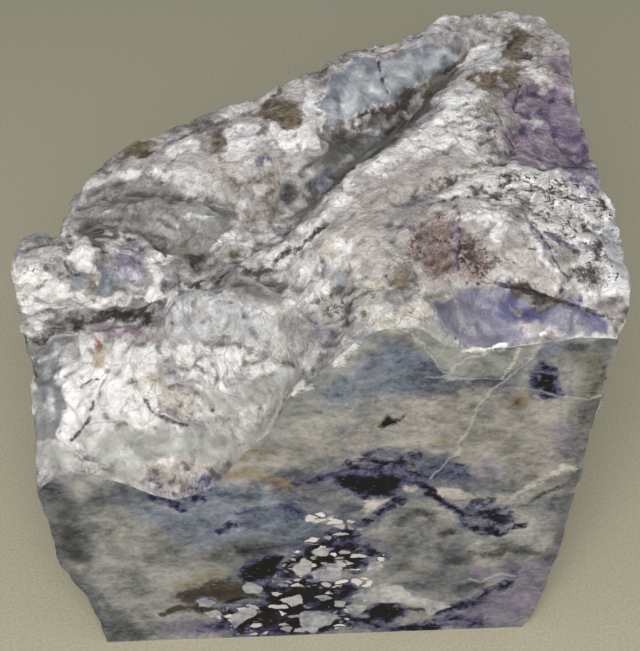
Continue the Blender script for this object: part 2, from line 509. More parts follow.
SKIN_MARKS["umber"] = [
    # slab
    streak([(-10, 20, 96), (-7, 24, 96), (-5, 27, 97)], 0.6),
    # swirl
    streak([(-25, -15, 82), (-23, -15, 83)], 1.5, 1),
    # cliff rim
    streak([(4, 32, 99), (8, 34, 101), (11, 37, 102), (19, 40, 102), (27, 42, 102)], 0.7, 0.8),
    # cliff
    streak([(20, 23, 95), (24, 27, 95), (28, 29, 95)], 1.3, 1.4),
    # groove
    streak([(11, 17, 94), (15, 20, 95), (20, 23, 95)], 0.8, 0.7),
    streak([(0, -3, 87), (5, -14, 99), (8, -11, 101), (12, -8, 102), (18, 15, 91), (23, 21, 93),
        (29, 28, 95), (33, 33, 96), (40, 39, 100)], 1.05, 0.8),
    streak([(11, 16, 93), (15, 20, 95), (20, 23, 95), (24, 27, 94), (28, 29, 95), (33, 34, 97)], 0.95, 0.8),
    streak([(2, 0, 87), (5, -11, 98), (8, -9, 100)], 1, 1.1),
    # peak
    streak([(49, 39, 103), (49, 35, 104)], 1.2, 0.8),
    streak([(52, 30, 104), (52, 28, 104)], 1, 0.7),
    streak([(41, 49, 104), (47, 49, 104), (55, 48, 104), (59, 45, 104)], 0.6, 0.7),
    # violet
    streak([(46, -1, 100), (50, -3, 100), (54, -4, 98)], 0.6, 0.7),
    # crease
    streak([(28, -17, 103), (30, -17, 102), (32, -16, 103)], 1, 0.7),
    streak([(45, 1, 100), (43, -5, 101)], 0.8, 0.7),
    # first layer
    streak([(40, -19, 103), (43, -17, 103), (46, -18, 103), (48, -19, 102)], 1.2, 0.8),
    streak([(52, -21, 101), (56, -21, 101), (60, -22, 100), (63, -24, 99)], 1.1, 0.7),
    # second layer
    streak([(25, -24, 102), (31, -22, 102), (35, -23, 102), (38, -23, 103)], 0.9, 0.7),
    # third layer
    streak([(43, -24, 102), (46, -26, 102), (48, -29, 101)], 0.7, 0.7),
    # strata
    streak([(41, -15, 103), (43, -18, 103), (48, -19, 102), (52, -21, 101), (56, -23, 100),
        (63, -24, 99)], 1, 0.7),
    streak([(19, -24, 102), (25, -23, 102), (30, -22, 103), (35, -21, 102), (39, -23, 102),
        (43, -23, 102)], 0.85, 0.7),
    streak([(43, -18, 103), (45, -17, 103)], 1.2, 1.1),
    streak([(53, -21, 101), (56, -21, 100)], 1.1, 0.8),
    # brown spot
    streak([(56, -30, 99), (57, -33, 98), (56, -37, 98)], 0.9, 1.4),
    streak([(56, -38, 98), (56, -39, 98)], 1.2),
    # right edge
    streak([(62, -28, 99), (62, -31, 98)]),
    streak([(54, -41, 98), (55, -43, 96)], 0.9, 1.4),
    streak([(62, -29, 99), (63, -32, 97)], 0.6),
    # shoulder
    streak([(30, -37, 100), (32, -36, 100), (33, -37, 100)], 1.3, 0.8),
    streak([(32, -38, 99), (33, -39, 99)], 1.3, 0.7),
    streak([(38, -41, 97), (40, -42, 96)], 0.9, 0.8),
    # corner spot
    streak([(44, -39, 100), (45, -39, 100)], 0.9, 0.7),
    # smooth facet
    streak([(57, -49, 90), (59, -49, 89)], 0.7, 0.7),
    # dark crescent
    patch([(38, -42, 94), (41, -43, 95), (45, -44, 95), (49, -45, 93), (47, -46, 92), (44, -45, 91),
        (40, -44, 91)], 1.7),
    # crater
    streak([(6, -43, 88), (7, -45, 88)], 1.2),
    streak([(10, -43, 92), (10, -46, 91)], 0.6, 0.7),
    # boulder
    streak([(2, -27, 98), (-2, -27, 95), (-6, -28, 92), (-10, -28, 90), (-16, -26, 87), (-23, -23, 83),
        (-27, -24, 82)], 1, 0.8),
    streak([(-26, -23, 82), (-30, -25, 81), (-32, -27, 78)], 0.7, 0.7),
    # knob
    streak([(-52, -23, 85), (-50, -22, 86), (-48, -22, 87)], 0.9, 0.7),
    # slot
    streak([(-62, -26, 71), (-56, -25, 72), (-49, -23, 72), (-43, -22, 73), (-38, -24, 75),
        (-33, -29, 77)], 1.05, 1.2),
    streak([(-45, -22, 73), (-41, -23, 74), (-38, -25, 75)], 1.5, 1.2),
    streak([(34, -40, 99), (37, -41, 97), (39, -42, 96)], 0.6),
]
SKIN_MARKS["indigo"] = [
    # slab
    streak([(-9, 5, 94), (-8, 6, 94)], 1.1, 1.2),
    # violet
    patch([(56, 8, 100), (60, 6, 100), (61, -2, 99), (61, -2, 97), (56, 2, 99)], 0.6, 1.2),
    # violet arc
    streak([(48, 13, 102), (51, 15, 102), (55, 16, 101)], 1.4, 0.7),
    streak([(53, 9, 101), (55, 6, 100), (57, 2, 99), (61, -2, 98)], 1.2, 1.2),
    streak([(55, 0, 99), (59, 1, 99), (61, -2, 99)], 1.1),
    streak([(46, -1, 100), (46, 5, 101), (47, 11, 102), (49, 14, 102)], 1.1, 0.7),
    # violet square
    streak([(56, -12, 101), (62, -12, 101)], 1, 0.8),
    streak([(56, -13, 101), (56, -19, 101)], 0.9, 0.7),
    # violet lozenge
    streak([(49, -34, 100), (51, -36, 100)], 1.3, 1),
    # knob
    streak([(-45, -24, 83), (-44, -25, 82)], 0.8, 0.7),
    streak([(-39, -13, 85), (-37, -13, 86)], 1, 0.8),
    # slope
    streak([(-42, -34, 70), (-40, -34, 71)], 0.6, 0.7),
    # foot
    streak([(-35, -49, 50), (-30, -50, 47), (-24, -51, 49)], 0.8, 1.4),
    # scoop
    streak([(-42, -45, 55), (-39, -45, 56), (-36, -46, 53)], 0.6),
    # shoulder
    streak([(42, -29, 103), (46, -33, 100), (48, -39, 100), (50, -43, 97)], 0.7, 0.7),
]
SKIN_MARKS["grey"] = [
    # swirl
    patch([(-50, 4, 84), (-46, 7, 86), (-39, 8, 88), (-32, 4, 89), (-23, -1, 89), (-17, -7, 88),
        (-16, -13, 87), (-21, -18, 84), (-28, -16, 83), (-34, -14, 86), (-39, -9, 86), (-46, -6, 85),
        (-51, -3, 84)], 1, 1.4),
    # swirl
    streak([(-39, -9, 86), (-32, -10, 84), (-24, -12, 84), (-19, -14, 87)], 0.9, 1.9),
    # groove
    streak([(29, 30, 95), (33, 35, 98), (39, 39, 100)], 0.9, 1.9),
    # cliff
    patch([(2, 14, 96), (6, 17, 95), (9, 15, 93), (7, 12, 93), (3, 8, 95)], 0.8),
    # peak
    streak([(36, 44, 103), (40, 47, 103), (44, 45, 103), (42, 42, 101)], 0.8, 1.6),
    # strata
    patch([(40, -23, 103), (47, -24, 102), (56, -24, 101), (59, -28, 99), (53, -31, 100), (48, -30, 101),
        (43, -28, 103)], 0.95, 1.2),
    patch([(40, -19, 103), (48, -18, 102), (58, -22, 100), (59, -28, 99), (51, -30, 101),
        (43, -26, 102)], 0.7, 1.2),
    streak([(53, -40, 98), (55, -44, 95), (57, -45, 95)], 0.7, 1.6),
    streak([(23, -25, 102), (29, -23, 102), (35, -23, 102)], 0.9, 1.2),
    # brown spots
    streak([(55, -30, 100), (60, -33, 98), (59, -38, 98)], 0.6, 1.9),
    # crater
    patch([(3, -38, 90), (7, -39, 93), (10, -42, 93), (11, -47, 91), (6, -45, 87), (3, -42, 87)], 0.8),
    # dark band
    patch([(-20, -25, 84), (-13, -28, 88), (-6, -32, 88), (-7, -36, 87), (-12, -35, 86),
        (-17, -32, 86)], 0.8),
    # boulder
    patch([(-9, -38, 85), (-3, -42, 86), (3, -44, 86), (0, -47, 83), (-6, -43, 81)], 0.8, 1.2),
    patch([(-9, -36, 86), (2, -42, 87), (3, -48, 84), (-3, -46, 80), (-7, -42, 81)], 0.65, 1.2),
    # knob
    patch([(-61, -14, 87), (-57, -11, 87), (-54, -7, 85), (-52, -14, 85), (-51, -22, 86), (-57, -22, 86),
        (-61, -22, 88)], 0.9),
    # slope
    streak([(-40, -38, 67), (-39, -39, 66)], 0.8, 1.4),
    # face border
    streak([(-17, -51, 57), (-12, -49, 62), (-7, -49, 70), (-2, -51, 78), (4, -51, 85),
        (10, -51, 89)], 0.85, 1.9),
]
SKIN_MARKS["slate"] = [
    # cliff
    patch([(5, 23, 98), (7, 30, 100), (10, 33, 101), (14, 36, 101), (18, 34, 101), (28, 38, 101),
        (37, 40, 101), (36, 37, 98), (29, 33, 97), (20, 25, 97), (12, 18, 95), (8, 16, 94), (5, 18, 96)]),
    streak([(5, 28, 99), (5, 19, 97), (8, 16, 94)], 0.9),
    # groove
    streak([(6, 4, 90), (10, 10, 91), (16, 16, 92), (22, 21, 93)], 0.6, 1.4),
    patch([(-5, -5, 87), (-2, -2, 89), (2, 2, 89), (6, 4, 89), (4, -16, 99), (0, -4, 86), (-3, -7, 86)]),
    # blue-grey window
    patch([(3, -35, 94), (6, -36, 95), (7, -39, 94), (4, -38, 92)]),
    # knob
    patch([(-44, -22, 87), (-42, -22, 87), (-40, -22, 87), (-41, -24, 84), (-43, -25, 82), (-45, -24, 82),
        (-45, -23, 85)], 1.1),
    patch([(-52, -23, 85), (-49, -23, 86), (-49, -24, 83), (-51, -23, 80), (-52, -24, 82)], 1.1),
    patch([(-40, -22, 87), (-36, -20, 86), (-36, -25, 84), (-38, -26, 82), (-40, -25, 82)], 0.8),
    # slot
    streak([(-36, -27, 75), (-33, -28, 77)], 0.9),
    # slope
    streak([(-49, -37, 65), (-48, -37, 66)], 0.9),
]
SKIN_MARKS["ice"] = [
    # cliff
    patch([(8, 26, 99), (12, 31, 100), (15, 31, 100), (19, 25, 98), (13, 20, 96), (9, 17, 95),
        (7, 20, 97)], 0.75, 1.2),
    # glassy block
    patch([(19, 33, 101), (27, 36, 101), (28, 33, 98), (20, 26, 98)]),
    # glassy ledge
    streak([(29, 35, 100), (36, 39, 100)], 0.9, 1.2),
    # groove
    streak([(-3, -4, 87), (0, 0, 88), (3, 1, 88)], 0.6),
    # crystals
    patch([(59, -28, 100), (63, -27, 99), (63, -36, 97), (63, -44, 96), (58, -45, 95), (58, -40, 98)], 0.7),
    # ice fleck
    streak([(-8, -44, 73), (-6, -47, 75)], 0.8),
    # glassy strip
    streak([(-58, -28, 69), (-55, -27, 68), (-56, -31, 66), (-57, -38, 64)], 0.8),
]
SKIN_MARKS["pearl"] = [
    # cliff
    streak([(13, 31, 100), (14, 27, 99), (17, 25, 98)], 0.8, 0.7),
    streak([(10, 21, 98), (11, 20, 96)], 0.7),
    # violet
    streak([(48, 7, 101), (50, 5, 100)], 0.95, 1.2),
    streak([(45, -7, 101), (50, -8, 100), (54, -11, 102)], 0.7),
    # violet square
    streak([(58, -15, 101), (61, -16, 101)], 0.8),
    # shoulder
    streak([(42, -32, 102), (42, -37, 100)], 0.9),
    # boulder
    patch([(-30, -33, 78), (-29, -27, 80), (-27, -24, 82), (-23, -23, 83), (-19, -28, 85), (-16, -33, 85),
        (-9, -39, 84), (-7, -41, 82), (-12, -41, 79), (-22, -37, 76), (-28, -36, 74)], 1.05),
    # pale ledge
    streak([(-6, -42, 82), (-1, -47, 83), (3, -49, 84)], 0.6, 1.4),
    # glassy strip
    streak([(-55, -27, 68), (-55, -32, 66)], 0.6, 0.7),
]
SKIN_MARKS["cream"] = [
    # glassy block
    streak([(18, 34, 101), (19, 26, 98), (21, 26, 97)], 0.8, 0.7),
    # facet
    patch([(11, -49, 92), (18, -47, 94), (24, -44, 94), (24, -49, 90), (20, -51, 91), (15, -51, 91)], 0.8),
    # cream lumps
    streak([(3, -32, 96), (7, -32, 97), (10, -37, 96), (12, -41, 94), (11, -46, 92)], 1, 1.9),
    # fan
    patch([(-39, -37, 69), (-35, -40, 66), (-29, -41, 61), (-24, -42, 63), (-29, -39, 66), (-33, -38, 69),
        (-35, -37, 72)], 0.8),
    # scoop
    patch([(-53, -45, 59), (-51, -45, 59), (-50, -48, 56), (-44, -49, 54), (-37, -49, 51), (-38, -51, 50),
        (-46, -51, 53), (-51, -50, 56)], 0.45),
]
SKIN_MARKS["rust"] = [
    # cliff rim
    streak([(16, 34, 101), (19, 37, 101), (23, 38, 101)], 0.9, 0.8),
    # orange
    streak([(-48, -27, 72), (-47, -29, 70)], 1.1, 0.8),
]
SKIN_MARKS["shade"] = [
    # groove
    patch([(5, 7, 93), (11, 16, 93), (19, 21, 94), (29, 30, 95), (35, 36, 98), (40, 39, 100),
        (42, 37, 100), (35, 31, 97), (28, 10, 104), (22, 2, 103), (17, -5, 103), (11, -9, 102),
        (7, -13, 100), (3, -13, 96), (-2, -6, 86), (-4, -5, 87), (1, 2, 89)], 1.2),
    patch([(-13, -10, 87), (-8, -5, 89), (-1, 1, 90), (6, 5, 90), (5, -15, 99), (1, -19, 97), (-2, -8, 86),
        (-7, -8, 86)], 0.85),
    # strata
    streak([(40, -17, 103), (44, -19, 102), (49, -22, 102), (56, -24, 101), (60, -26, 100)], 0.7),
    # right rim
    streak([(63, -39, 97), (63, -47, 94), (60, -50, 88)], 0.55, 1.4),
    streak([(61, 19, 104), (61, 8, 101), (62, -10, 101)], 0.45, 1.2),
    # shoulder
    streak([(23, -41, 97), (31, -41, 96), (37, -42, 96)], 0.45, 1.2),
    # crater
    streak([(3, -38, 91), (7, -39, 93), (10, -43, 93), (11, -46, 92)], 0.6),
    streak([(4, -43, 87), (7, -47, 89)], 0.8, 1.2),
    # knob
    patch([(-51, -5, 85), (-47, -2, 84), (-44, -3, 84), (-41, -12, 86), (-42, -16, 87), (-45, -20, 89),
        (-48, -15, 88)], 0.8),
    # glassy strip
    streak([(-62, -26, 71), (-60, -30, 67), (-59, -36, 65), (-59, -39, 63), (-59, -41, 60)]),
    # right corner
    streak([(59, -47, 93), (62, -49, 91), (61, -51, 87)], 0.8, 1.4),
]
SKIN_MARKS["violet"] = [
    # groove
    streak([(-6, -10, 85), (-3, -9, 86), (-2, -19, 94)], 1.1, 1.1),
    # ridge
    streak([(6, 3, 89), (8, 5, 90), (10, -8, 101), (12, -7, 102)], 0.9, 0.8),
    # violet facet
    patch([(48, 14, 103), (51, 18, 104), (55, 20, 104), (61, 15, 102), (61, 1, 100), (61, -7, 100),
        (55, -11, 101), (49, -9, 101), (46, -1, 100), (46, 7, 101)], 0.55, 1.4),
    # violet square
    patch([(57, -6, 97), (62, -12, 101), (62, -18, 100), (56, -20, 101)]),
    # shoulder
    streak([(32, -29, 103), (39, -28, 103), (43, -30, 102), (46, -32, 101), (47, -38, 101), (49, -42, 98),
        (52, -44, 96)], 1.1, 0.7),
    streak([(30, -26, 102), (29, -35, 101), (29, -41, 97)], 0.95, 0.7),
    # violet corner
    patch([(48, -45, 94), (51, -44, 96), (53, -45, 94), (50, -46, 92)], 0.95),
    # pink and violet
    streak([(0, -44, 86), (1, -46, 86)], 0.7, 1.6),
    # knob
    patch([(-41, -14, 86), (-38, -12, 85), (-35, -14, 86), (-34, -19, 85), (-36, -25, 83), (-37, -26, 81),
        (-40, -25, 83), (-41, -22, 87)], 0.55),
    streak([(-40, -20, 87), (-38, -15, 86), (-37, -14, 86)], 1, 1.2),
    # under slot
    streak([(-41, -30, 73), (-39, -29, 75), (-37, -29, 75)], 0.8, 0.7),
]
SKIN_MARKS["pepper"] = [
    # peak
    streak([(49, 41, 103), (49, 36, 103), (52, 30, 104), (50, 27, 105)], 1, 1.9),
    # flank
    streak([(35, 7, 105), (38, 5, 104), (41, -2, 104), (37, -4, 104), (35, 2, 104)], 0.9, 2.3),
    # strata
    patch([(38, -17, 103), (53, -14, 102), (62, -22, 100), (63, -33, 97), (62, -41, 97), (55, -45, 95),
        (51, -37, 99), (47, -30, 101), (39, -25, 102)], 1, 1.2),
    # shoulder
    patch([(18, -28, 101), (26, -27, 102), (34, -34, 102), (41, -41, 98), (33, -42, 96),
        (19, -39, 97)], 0.95, 1.4),
    # crater
    patch([(3, -38, 90), (7, -39, 93), (10, -42, 93), (11, -47, 91), (6, -45, 87), (3, -42, 87)], 0.8),
    # knob
    patch([(-61, -14, 87), (-57, -11, 87), (-54, -7, 85), (-52, -14, 85), (-52, -23, 84), (-57, -23, 84),
        (-61, -23, 86)], 0.7),
    patch([(25, -30, 101), (32, -32, 102), (38, -36, 100), (38, -41, 98), (32, -41, 96),
        (25, -38, 98)], 0.85, 1.2),
]
SKIN_MARKS["mauve"] = [
    # pink rim
    patch([(57, 29, 105), (62, 31, 105), (61, 19, 104), (59, 16, 102), (56, 21, 104)], 0.9),
    # violet facet
    patch([(46, 17, 104), (52, 21, 104), (55, 20, 104), (61, 15, 102), (61, 2, 100), (62, -12, 101),
        (55, -12, 102), (45, -13, 103), (41, -9, 102), (45, 6, 102)], 0.9, 1.2),
    # right corner
    streak([(56, -46, 93), (59, -48, 91)], 0.6, 1.6),
    # slot
    streak([(-44, -26, 79), (-38, -27, 79), (-34, -25, 77)], 0.7),
    # under slot
    patch([(-47, -24, 72), (-41, -26, 74), (-34, -31, 77), (-35, -33, 75), (-41, -31, 72),
        (-45, -28, 72)], 0.9),
]
SKIN_MARKS["rose"] = [
    # shoulder
    patch([(20, -30, 101), (26, -28, 102), (32, -33, 101), (36, -37, 100), (38, -41, 97), (31, -41, 96),
        (23, -40, 97), (18, -36, 98)], 0.95, 1.4),
    patch([(30, -34, 101), (35, -36, 100), (37, -40, 98), (32, -41, 98), (29, -38, 99)], 0.8, 1.4),
]
SKIN_MARKS["lilac"] = [
    # smooth facet
    patch([(24, -45, 94), (31, -42, 94), (38, -43, 94), (48, -46, 92), (57, -49, 90), (59, -51, 88),
        (48, -51, 88), (39, -51, 87), (33, -51, 86), (29, -50, 86), (25, -49, 90)], 1.2),
]
SKIN_MARKS["dusk"] = [
    # smooth facet
    patch([(30, -43, 93), (37, -43, 93), (44, -45, 91), (49, -48, 90), (46, -49, 89), (39, -49, 88),
        (34, -47, 89)], 0.65, 2.1),
    streak([(37, -45, 91), (41, -46, 90), (44, -47, 90)], 0.9, 1.6),
    streak([(54, -48, 91), (57, -49, 90)], 1, 1.4),
    streak([(48, -48, 90), (50, -48, 90)], 0.9),
    # facet
    patch([(48, -45, 94), (55, -48, 91), (60, -49, 90), (58, -51, 88), (49, -50, 88)], 0.45, 1.2),
    # scoop
    patch([(-49, -45, 57), (-42, -44, 56), (-38, -45, 57), (-36, -46, 54), (-37, -47, 52), (-43, -47, 54),
        (-48, -47, 56)], 0.7, 1.2),
    streak([(-40, -47, 53), (-37, -47, 52)], 0.5, 0.8),
]
SKIN_MARKS["haze"] = [
    # smooth facet
    streak([(40, -48, 89), (45, -50, 88), (51, -50, 89)], 0.8, 1.2),
    # pale slope
    patch([(-14, -48, 62), (-9, -45, 68), (3, -51, 74), (6, -51, 68), (-3, -51, 63)], 0.8, 1.9),
]
SKIN_MARKS["sage"] = [
    # below the boulder
    patch([(-24, -40, 66), (-16, -44, 70), (-11, -43, 73), (-3, -49, 77), (-5, -51, 73), (-16, -46, 64),
        (-23, -42, 63)], 0.75, 1.2),
    # scoop
    patch([(-51, -46, 58), (-43, -43, 59), (-35, -44, 59), (-29, -42, 59), (-22, -45, 61), (-14, -48, 62),
        (-9, -51, 66), (-13, -51, 60), (-21, -49, 53), (-30, -47, 50), (-37, -48, 51),
        (-45, -48, 54)], 1.1, 1.9),
    streak([(-59, -45, 57), (-56, -47, 57), (-53, -50, 56)], 1.2, 1.9),
]
SKIN_MARKS["tan"] = [
    # tan patch
    patch([(-48, -29, 69), (-46, -29, 71), (-43, -31, 71), (-43, -33, 70), (-46, -33, 68), (-48, -32, 68)]),
]
SKIN_MARKS["gloss"] = [
    # glassy strip
    patch([(-62, -27, 70), (-58, -27, 71), (-51, -26, 71), (-54, -28, 67), (-54, -34, 67), (-54, -38, 64),
        (-55, -45, 58), (-59, -43, 58), (-60, -38, 63), (-59, -32, 66)], 1.1),
]
SKIN_MARKS["bluet"] = [
    # face border
    streak([(-6, -48, 72), (-1, -50, 79), (5, -51, 86), (11, -51, 91)], 0.7, 1.4),
]
SKIN_MARKS["crust"] = [
    # crusty grains
    patch([(-37, -47, 52), (-30, -46, 52), (-22, -49, 54), (-22, -50, 51), (-27, -49, 50), (-29, -51, 47),
        (-32, -50, 47), (-35, -49, 50)]),
]
SKIN_MARKS["ink"] = [
    # blue smoke
    streak([(-28, -49, 48), (-25, -50, 49), (-22, -51, 49)], 0.5, 1.4),
]

# The polished face is flat, so its marks need only (x, z).
FACE_MARKS = {}
FACE_MARKS["chalk"] = [
    # white crumbs
    streak([(4, 84), (6, 87), (7, 87)], 1, 1.2),
    streak([(-5, 75), (-3, 77), (-1, 77)], 1, 0.8),
    # bed
    streak([(-2.3, 39.5), (-0.1, 38.2), (2.9, 38.6), (5.9, 37.2)], 0.8, 0.56),
]
FACE_MARKS["olive"] = [
    # upper right
    streak([(52, 83), (56, 82), (56, 74)], 0.8, 1.9),
]
FACE_MARKS["umber"] = [
    # brown-black patch
    patch([(-32, 14), (-29, 18), (-25, 19), (-19, 20), (-16, 19), (-14, 15), (-15, 13), (-21, 12),
        (-25, 14), (-29, 13)], 1.2, 1.9),
    # lower band
    streak([(-35, 9), (-31, 11), (-26, 11), (-23, 9)], 1, 0.8),
    # rusty spot
    streak([(41, 70), (41, 71)], 0.65, 0.7),
    # tail
    streak([(34, 43), (38, 43)], 0.9, 0.7),
    streak([(43, 40), (46, 41), (49, 44), (53, 46)], 0.75, 0.7),
    # smudge
    streak([(34, 26), (38, 25), (41, 25)], 0.75, 1.1),
    # upper right
    streak([(58, 80), (57, 76), (56, 73)], 0.7, 0.7),
    # right belt
    streak([(20, 8), (24, 7)], 1, 0.8),
]
FACE_MARKS["slate"] = [
    # foot
    streak([(-58, 53), (-52, 54), (-46, 53)], 0.6, 1.2),
]
FACE_MARKS["cream"] = [
    # beside the chips
    streak([(37.2, 77.5), (39, 81), (40.2, 84.1), (41.4, 86.2)], 0.8, 0.37),
    # white vein
    streak([(43, 43), (45, 45), (48, 48), (50, 50), (52, 52), (55, 51)], 1, 0.7),
    # pale lens
    patch([(10.2, 40.2), (11, 43.8), (13.6, 44.6), (17.3, 44.1), (15.8, 42), (12.8, 40.6)], 0.9, 0.6),
    # pale band
    patch([(24.3, 46.5), (27.7, 47.3), (31.9, 45.6), (35.2, 44.5), (32.6, 43.1), (28.8, 43),
        (25.7, 44)], 0.9, 0.6),
    # pale crumbs
    patch([(17.8, 47.5), (20.8, 47.9), (23, 46.6), (20.5, 45.5), (18.7, 45.9)], 0.9, 0.6),
]
FACE_MARKS["shade"] = [
    # left edge
    streak([(-54, 38), (-54, 33), (-52, 29)], 1.3, 1.6),
    # smoky lens
    streak([(-17, 29), (-12, 29)], 1.3, 1.2),
    # mottle
    streak([(18, 36), (20, 39), (23, 40), (26, 37)], 0.85, 1.2),
    streak([(18, 32), (21, 29), (23, 32)], 0.6),
    streak([(17, 23), (23, 20), (29, 18)], 0.5, 1.2),
    streak([(27, 32), (29, 33)], 1.3, 1.1),
    streak([(29, 23), (34, 24)], 0.7, 1.2),
    # smudge
    streak([(32, 14), (37, 15)], 0.9, 1.2),
    streak([(41, 28), (45, 26), (51, 24)], 0.8, 1.6),
    # upper right
    streak([(51, 86), (53, 85)], 1, 1.1),
]
FACE_MARKS["violet"] = [
    # violet smoke
    patch([(-36, 6), (-27, 7), (-21, 3), (-20, 1), (-36, 1)], 0.95, 1.4),
    # sand
    streak([(51, 63), (53, 57)], 0.7, 2.3),
    streak([(36, 52), (39, 50)], 0.95, 1.7),
    # violet belt
    patch([(34, 22), (39, 21), (45, 22), (52, 23), (52, 15), (41, 16), (35, 17)], 0.8, 1.4),
    # violet-grey ground
    patch([(27, 6), (36, 10), (46, 15), (52, 16), (50, 5), (47, 1), (28, 1)], 0.95, 1.9),
]
FACE_MARKS["haze"] = [
    # cloud
    patch([(-46, 45), (-35, 46), (-24, 39), (-19, 26), (-20, 17), (-31, 14), (-36, 0), (-45, 1), (-49, 15),
        (-49, 31)], 0.9, 2.8),
    streak([(-49, 53), (-51, 47), (-51, 42), (-49, 34), (-48, 26), (-50, 21), (-49, 16)], 0.75, 0.8),
    streak([(-48, 14), (-42, 12), (-38, 7), (-37, 2)], 0.7),
    # upper middle
    streak([(9, 75), (14, 77), (17, 74), (22, 72)], 0.8, 0.7),
    # mottle
    streak([(19, 42), (22, 43), (27, 41), (30, 35)], 0.6, 0.8),
    # upper right
    patch([(40, 76), (45, 83), (51, 84), (51, 80), (44, 81), (42, 74)], 0.9, 1.4),
    # tail
    patch([(30, 39), (32, 42), (35, 41), (35, 37), (33, 36)], 1, 0.9),
    # bed
    patch([(-9.3, 8.4), (-7.5, 10), (-5.6, 8.9), (-6.4, 6.1), (-9.1, 5.9)], 1.2, 0.3),
    patch([(2.6, 0.7), (6.2, 4), (8.1, 2.9), (7.6, 0.4)], 1.2, 0.3),
    # belt
    patch([(18, 3), (21, 5), (26, 5), (28, 3), (24, 1), (19, 1)], 1.2, 0.9),
    # face border
    streak([(-14, 59), (-8, 67), (-3, 74), (3, 81), (10, 87)], 0.75, 1.9),
]
FACE_MARKS["sage"] = [
    # face border
    streak([(-10, 61), (-6, 70), (0, 77), (6, 83), (11, 88)], 0.85, 2.1),
    # shell-shaped break
    patch([(13, 91), (16, 92), (20, 92), (25, 89), (29, 86), (34, 84), (41, 86), (44, 86), (41, 81),
        (38, 78), (33, 78), (27, 79), (23, 83), (21, 86), (17, 89)], 1, 0.9),
]
FACE_MARKS["bluet"] = [
    # blue wash
    patch([(-44, 48), (-33, 44), (-21, 51), (-4, 45), (0, 36), (-4, 30), (-12, 27), (-17, 31), (-25, 29),
        (-32, 33), (-37, 40)], 0.9, 2.3),
    patch([(-21, 45), (-10, 45), (-2, 40), (-4, 33), (-12, 32), (-20, 39)], 0.9, 1.9),
    # blue-grey ground
    patch([(-3, 78), (3, 84), (11, 89), (22, 87), (25, 80), (21, 75), (11, 73), (3, 72),
        (-5, 74)], 0.9, 2.1),
    # upper right
    streak([(46, 85), (49, 86), (52, 86)], 0.8, 1.2),
]
FACE_MARKS["smoke"] = [
    # left edge
    patch([(-59, 52), (-54, 52), (-51, 47), (-50, 41), (-49, 34), (-50, 27), (-54, 26), (-56, 32),
        (-57, 43)], 1, 1.6),
    # left side
    patch([(-49, 53), (-44, 52), (-45, 44), (-49, 43)], 0.8, 1.4),
    # lower corner
    patch([(-48, 14), (-43, 10), (-39, 2), (-39, 0), (-48, 1)], 0.8, 1.2),
    # upper middle
    streak([(10, 81), (12, 82)], 0.7, 1.4),
    # smoky lens
    streak([(-22, 28), (-19, 31), (-13, 32), (-9, 30)], 1.1, 1.6),
    # smoke spot
    streak([(-33, 32), (-31, 30)], 0.8, 1.4),
    # mottle
    patch([(16, 37), (20, 42), (25, 41), (30, 35), (33, 29), (35, 17), (28, 13), (19, 15), (15, 21),
        (14, 30)], 0.5, 2.1),
    # right edge
    streak([(58, 85), (58, 71), (56, 57), (54, 40), (53, 23)], 0.9, 1.6),
    streak([(57, 84), (56, 71), (54, 56)], 0.9, 2.3),
    streak([(53, 29), (52, 16), (50, 5)], 0.6, 1.2),
    streak([(-59, 52), (-57, 43), (-57, 30), (-52, 19), (-49, 6)], 1, 1.9),
    # lower middle
    patch([(-23, 27), (-12, 32), (-7, 30), (-10, 24), (-17, 20)], 0.6, 1.9),
    # beside the chips
    streak([(23, 86), (27, 81), (32, 80)], 0.7, 1.2),
]
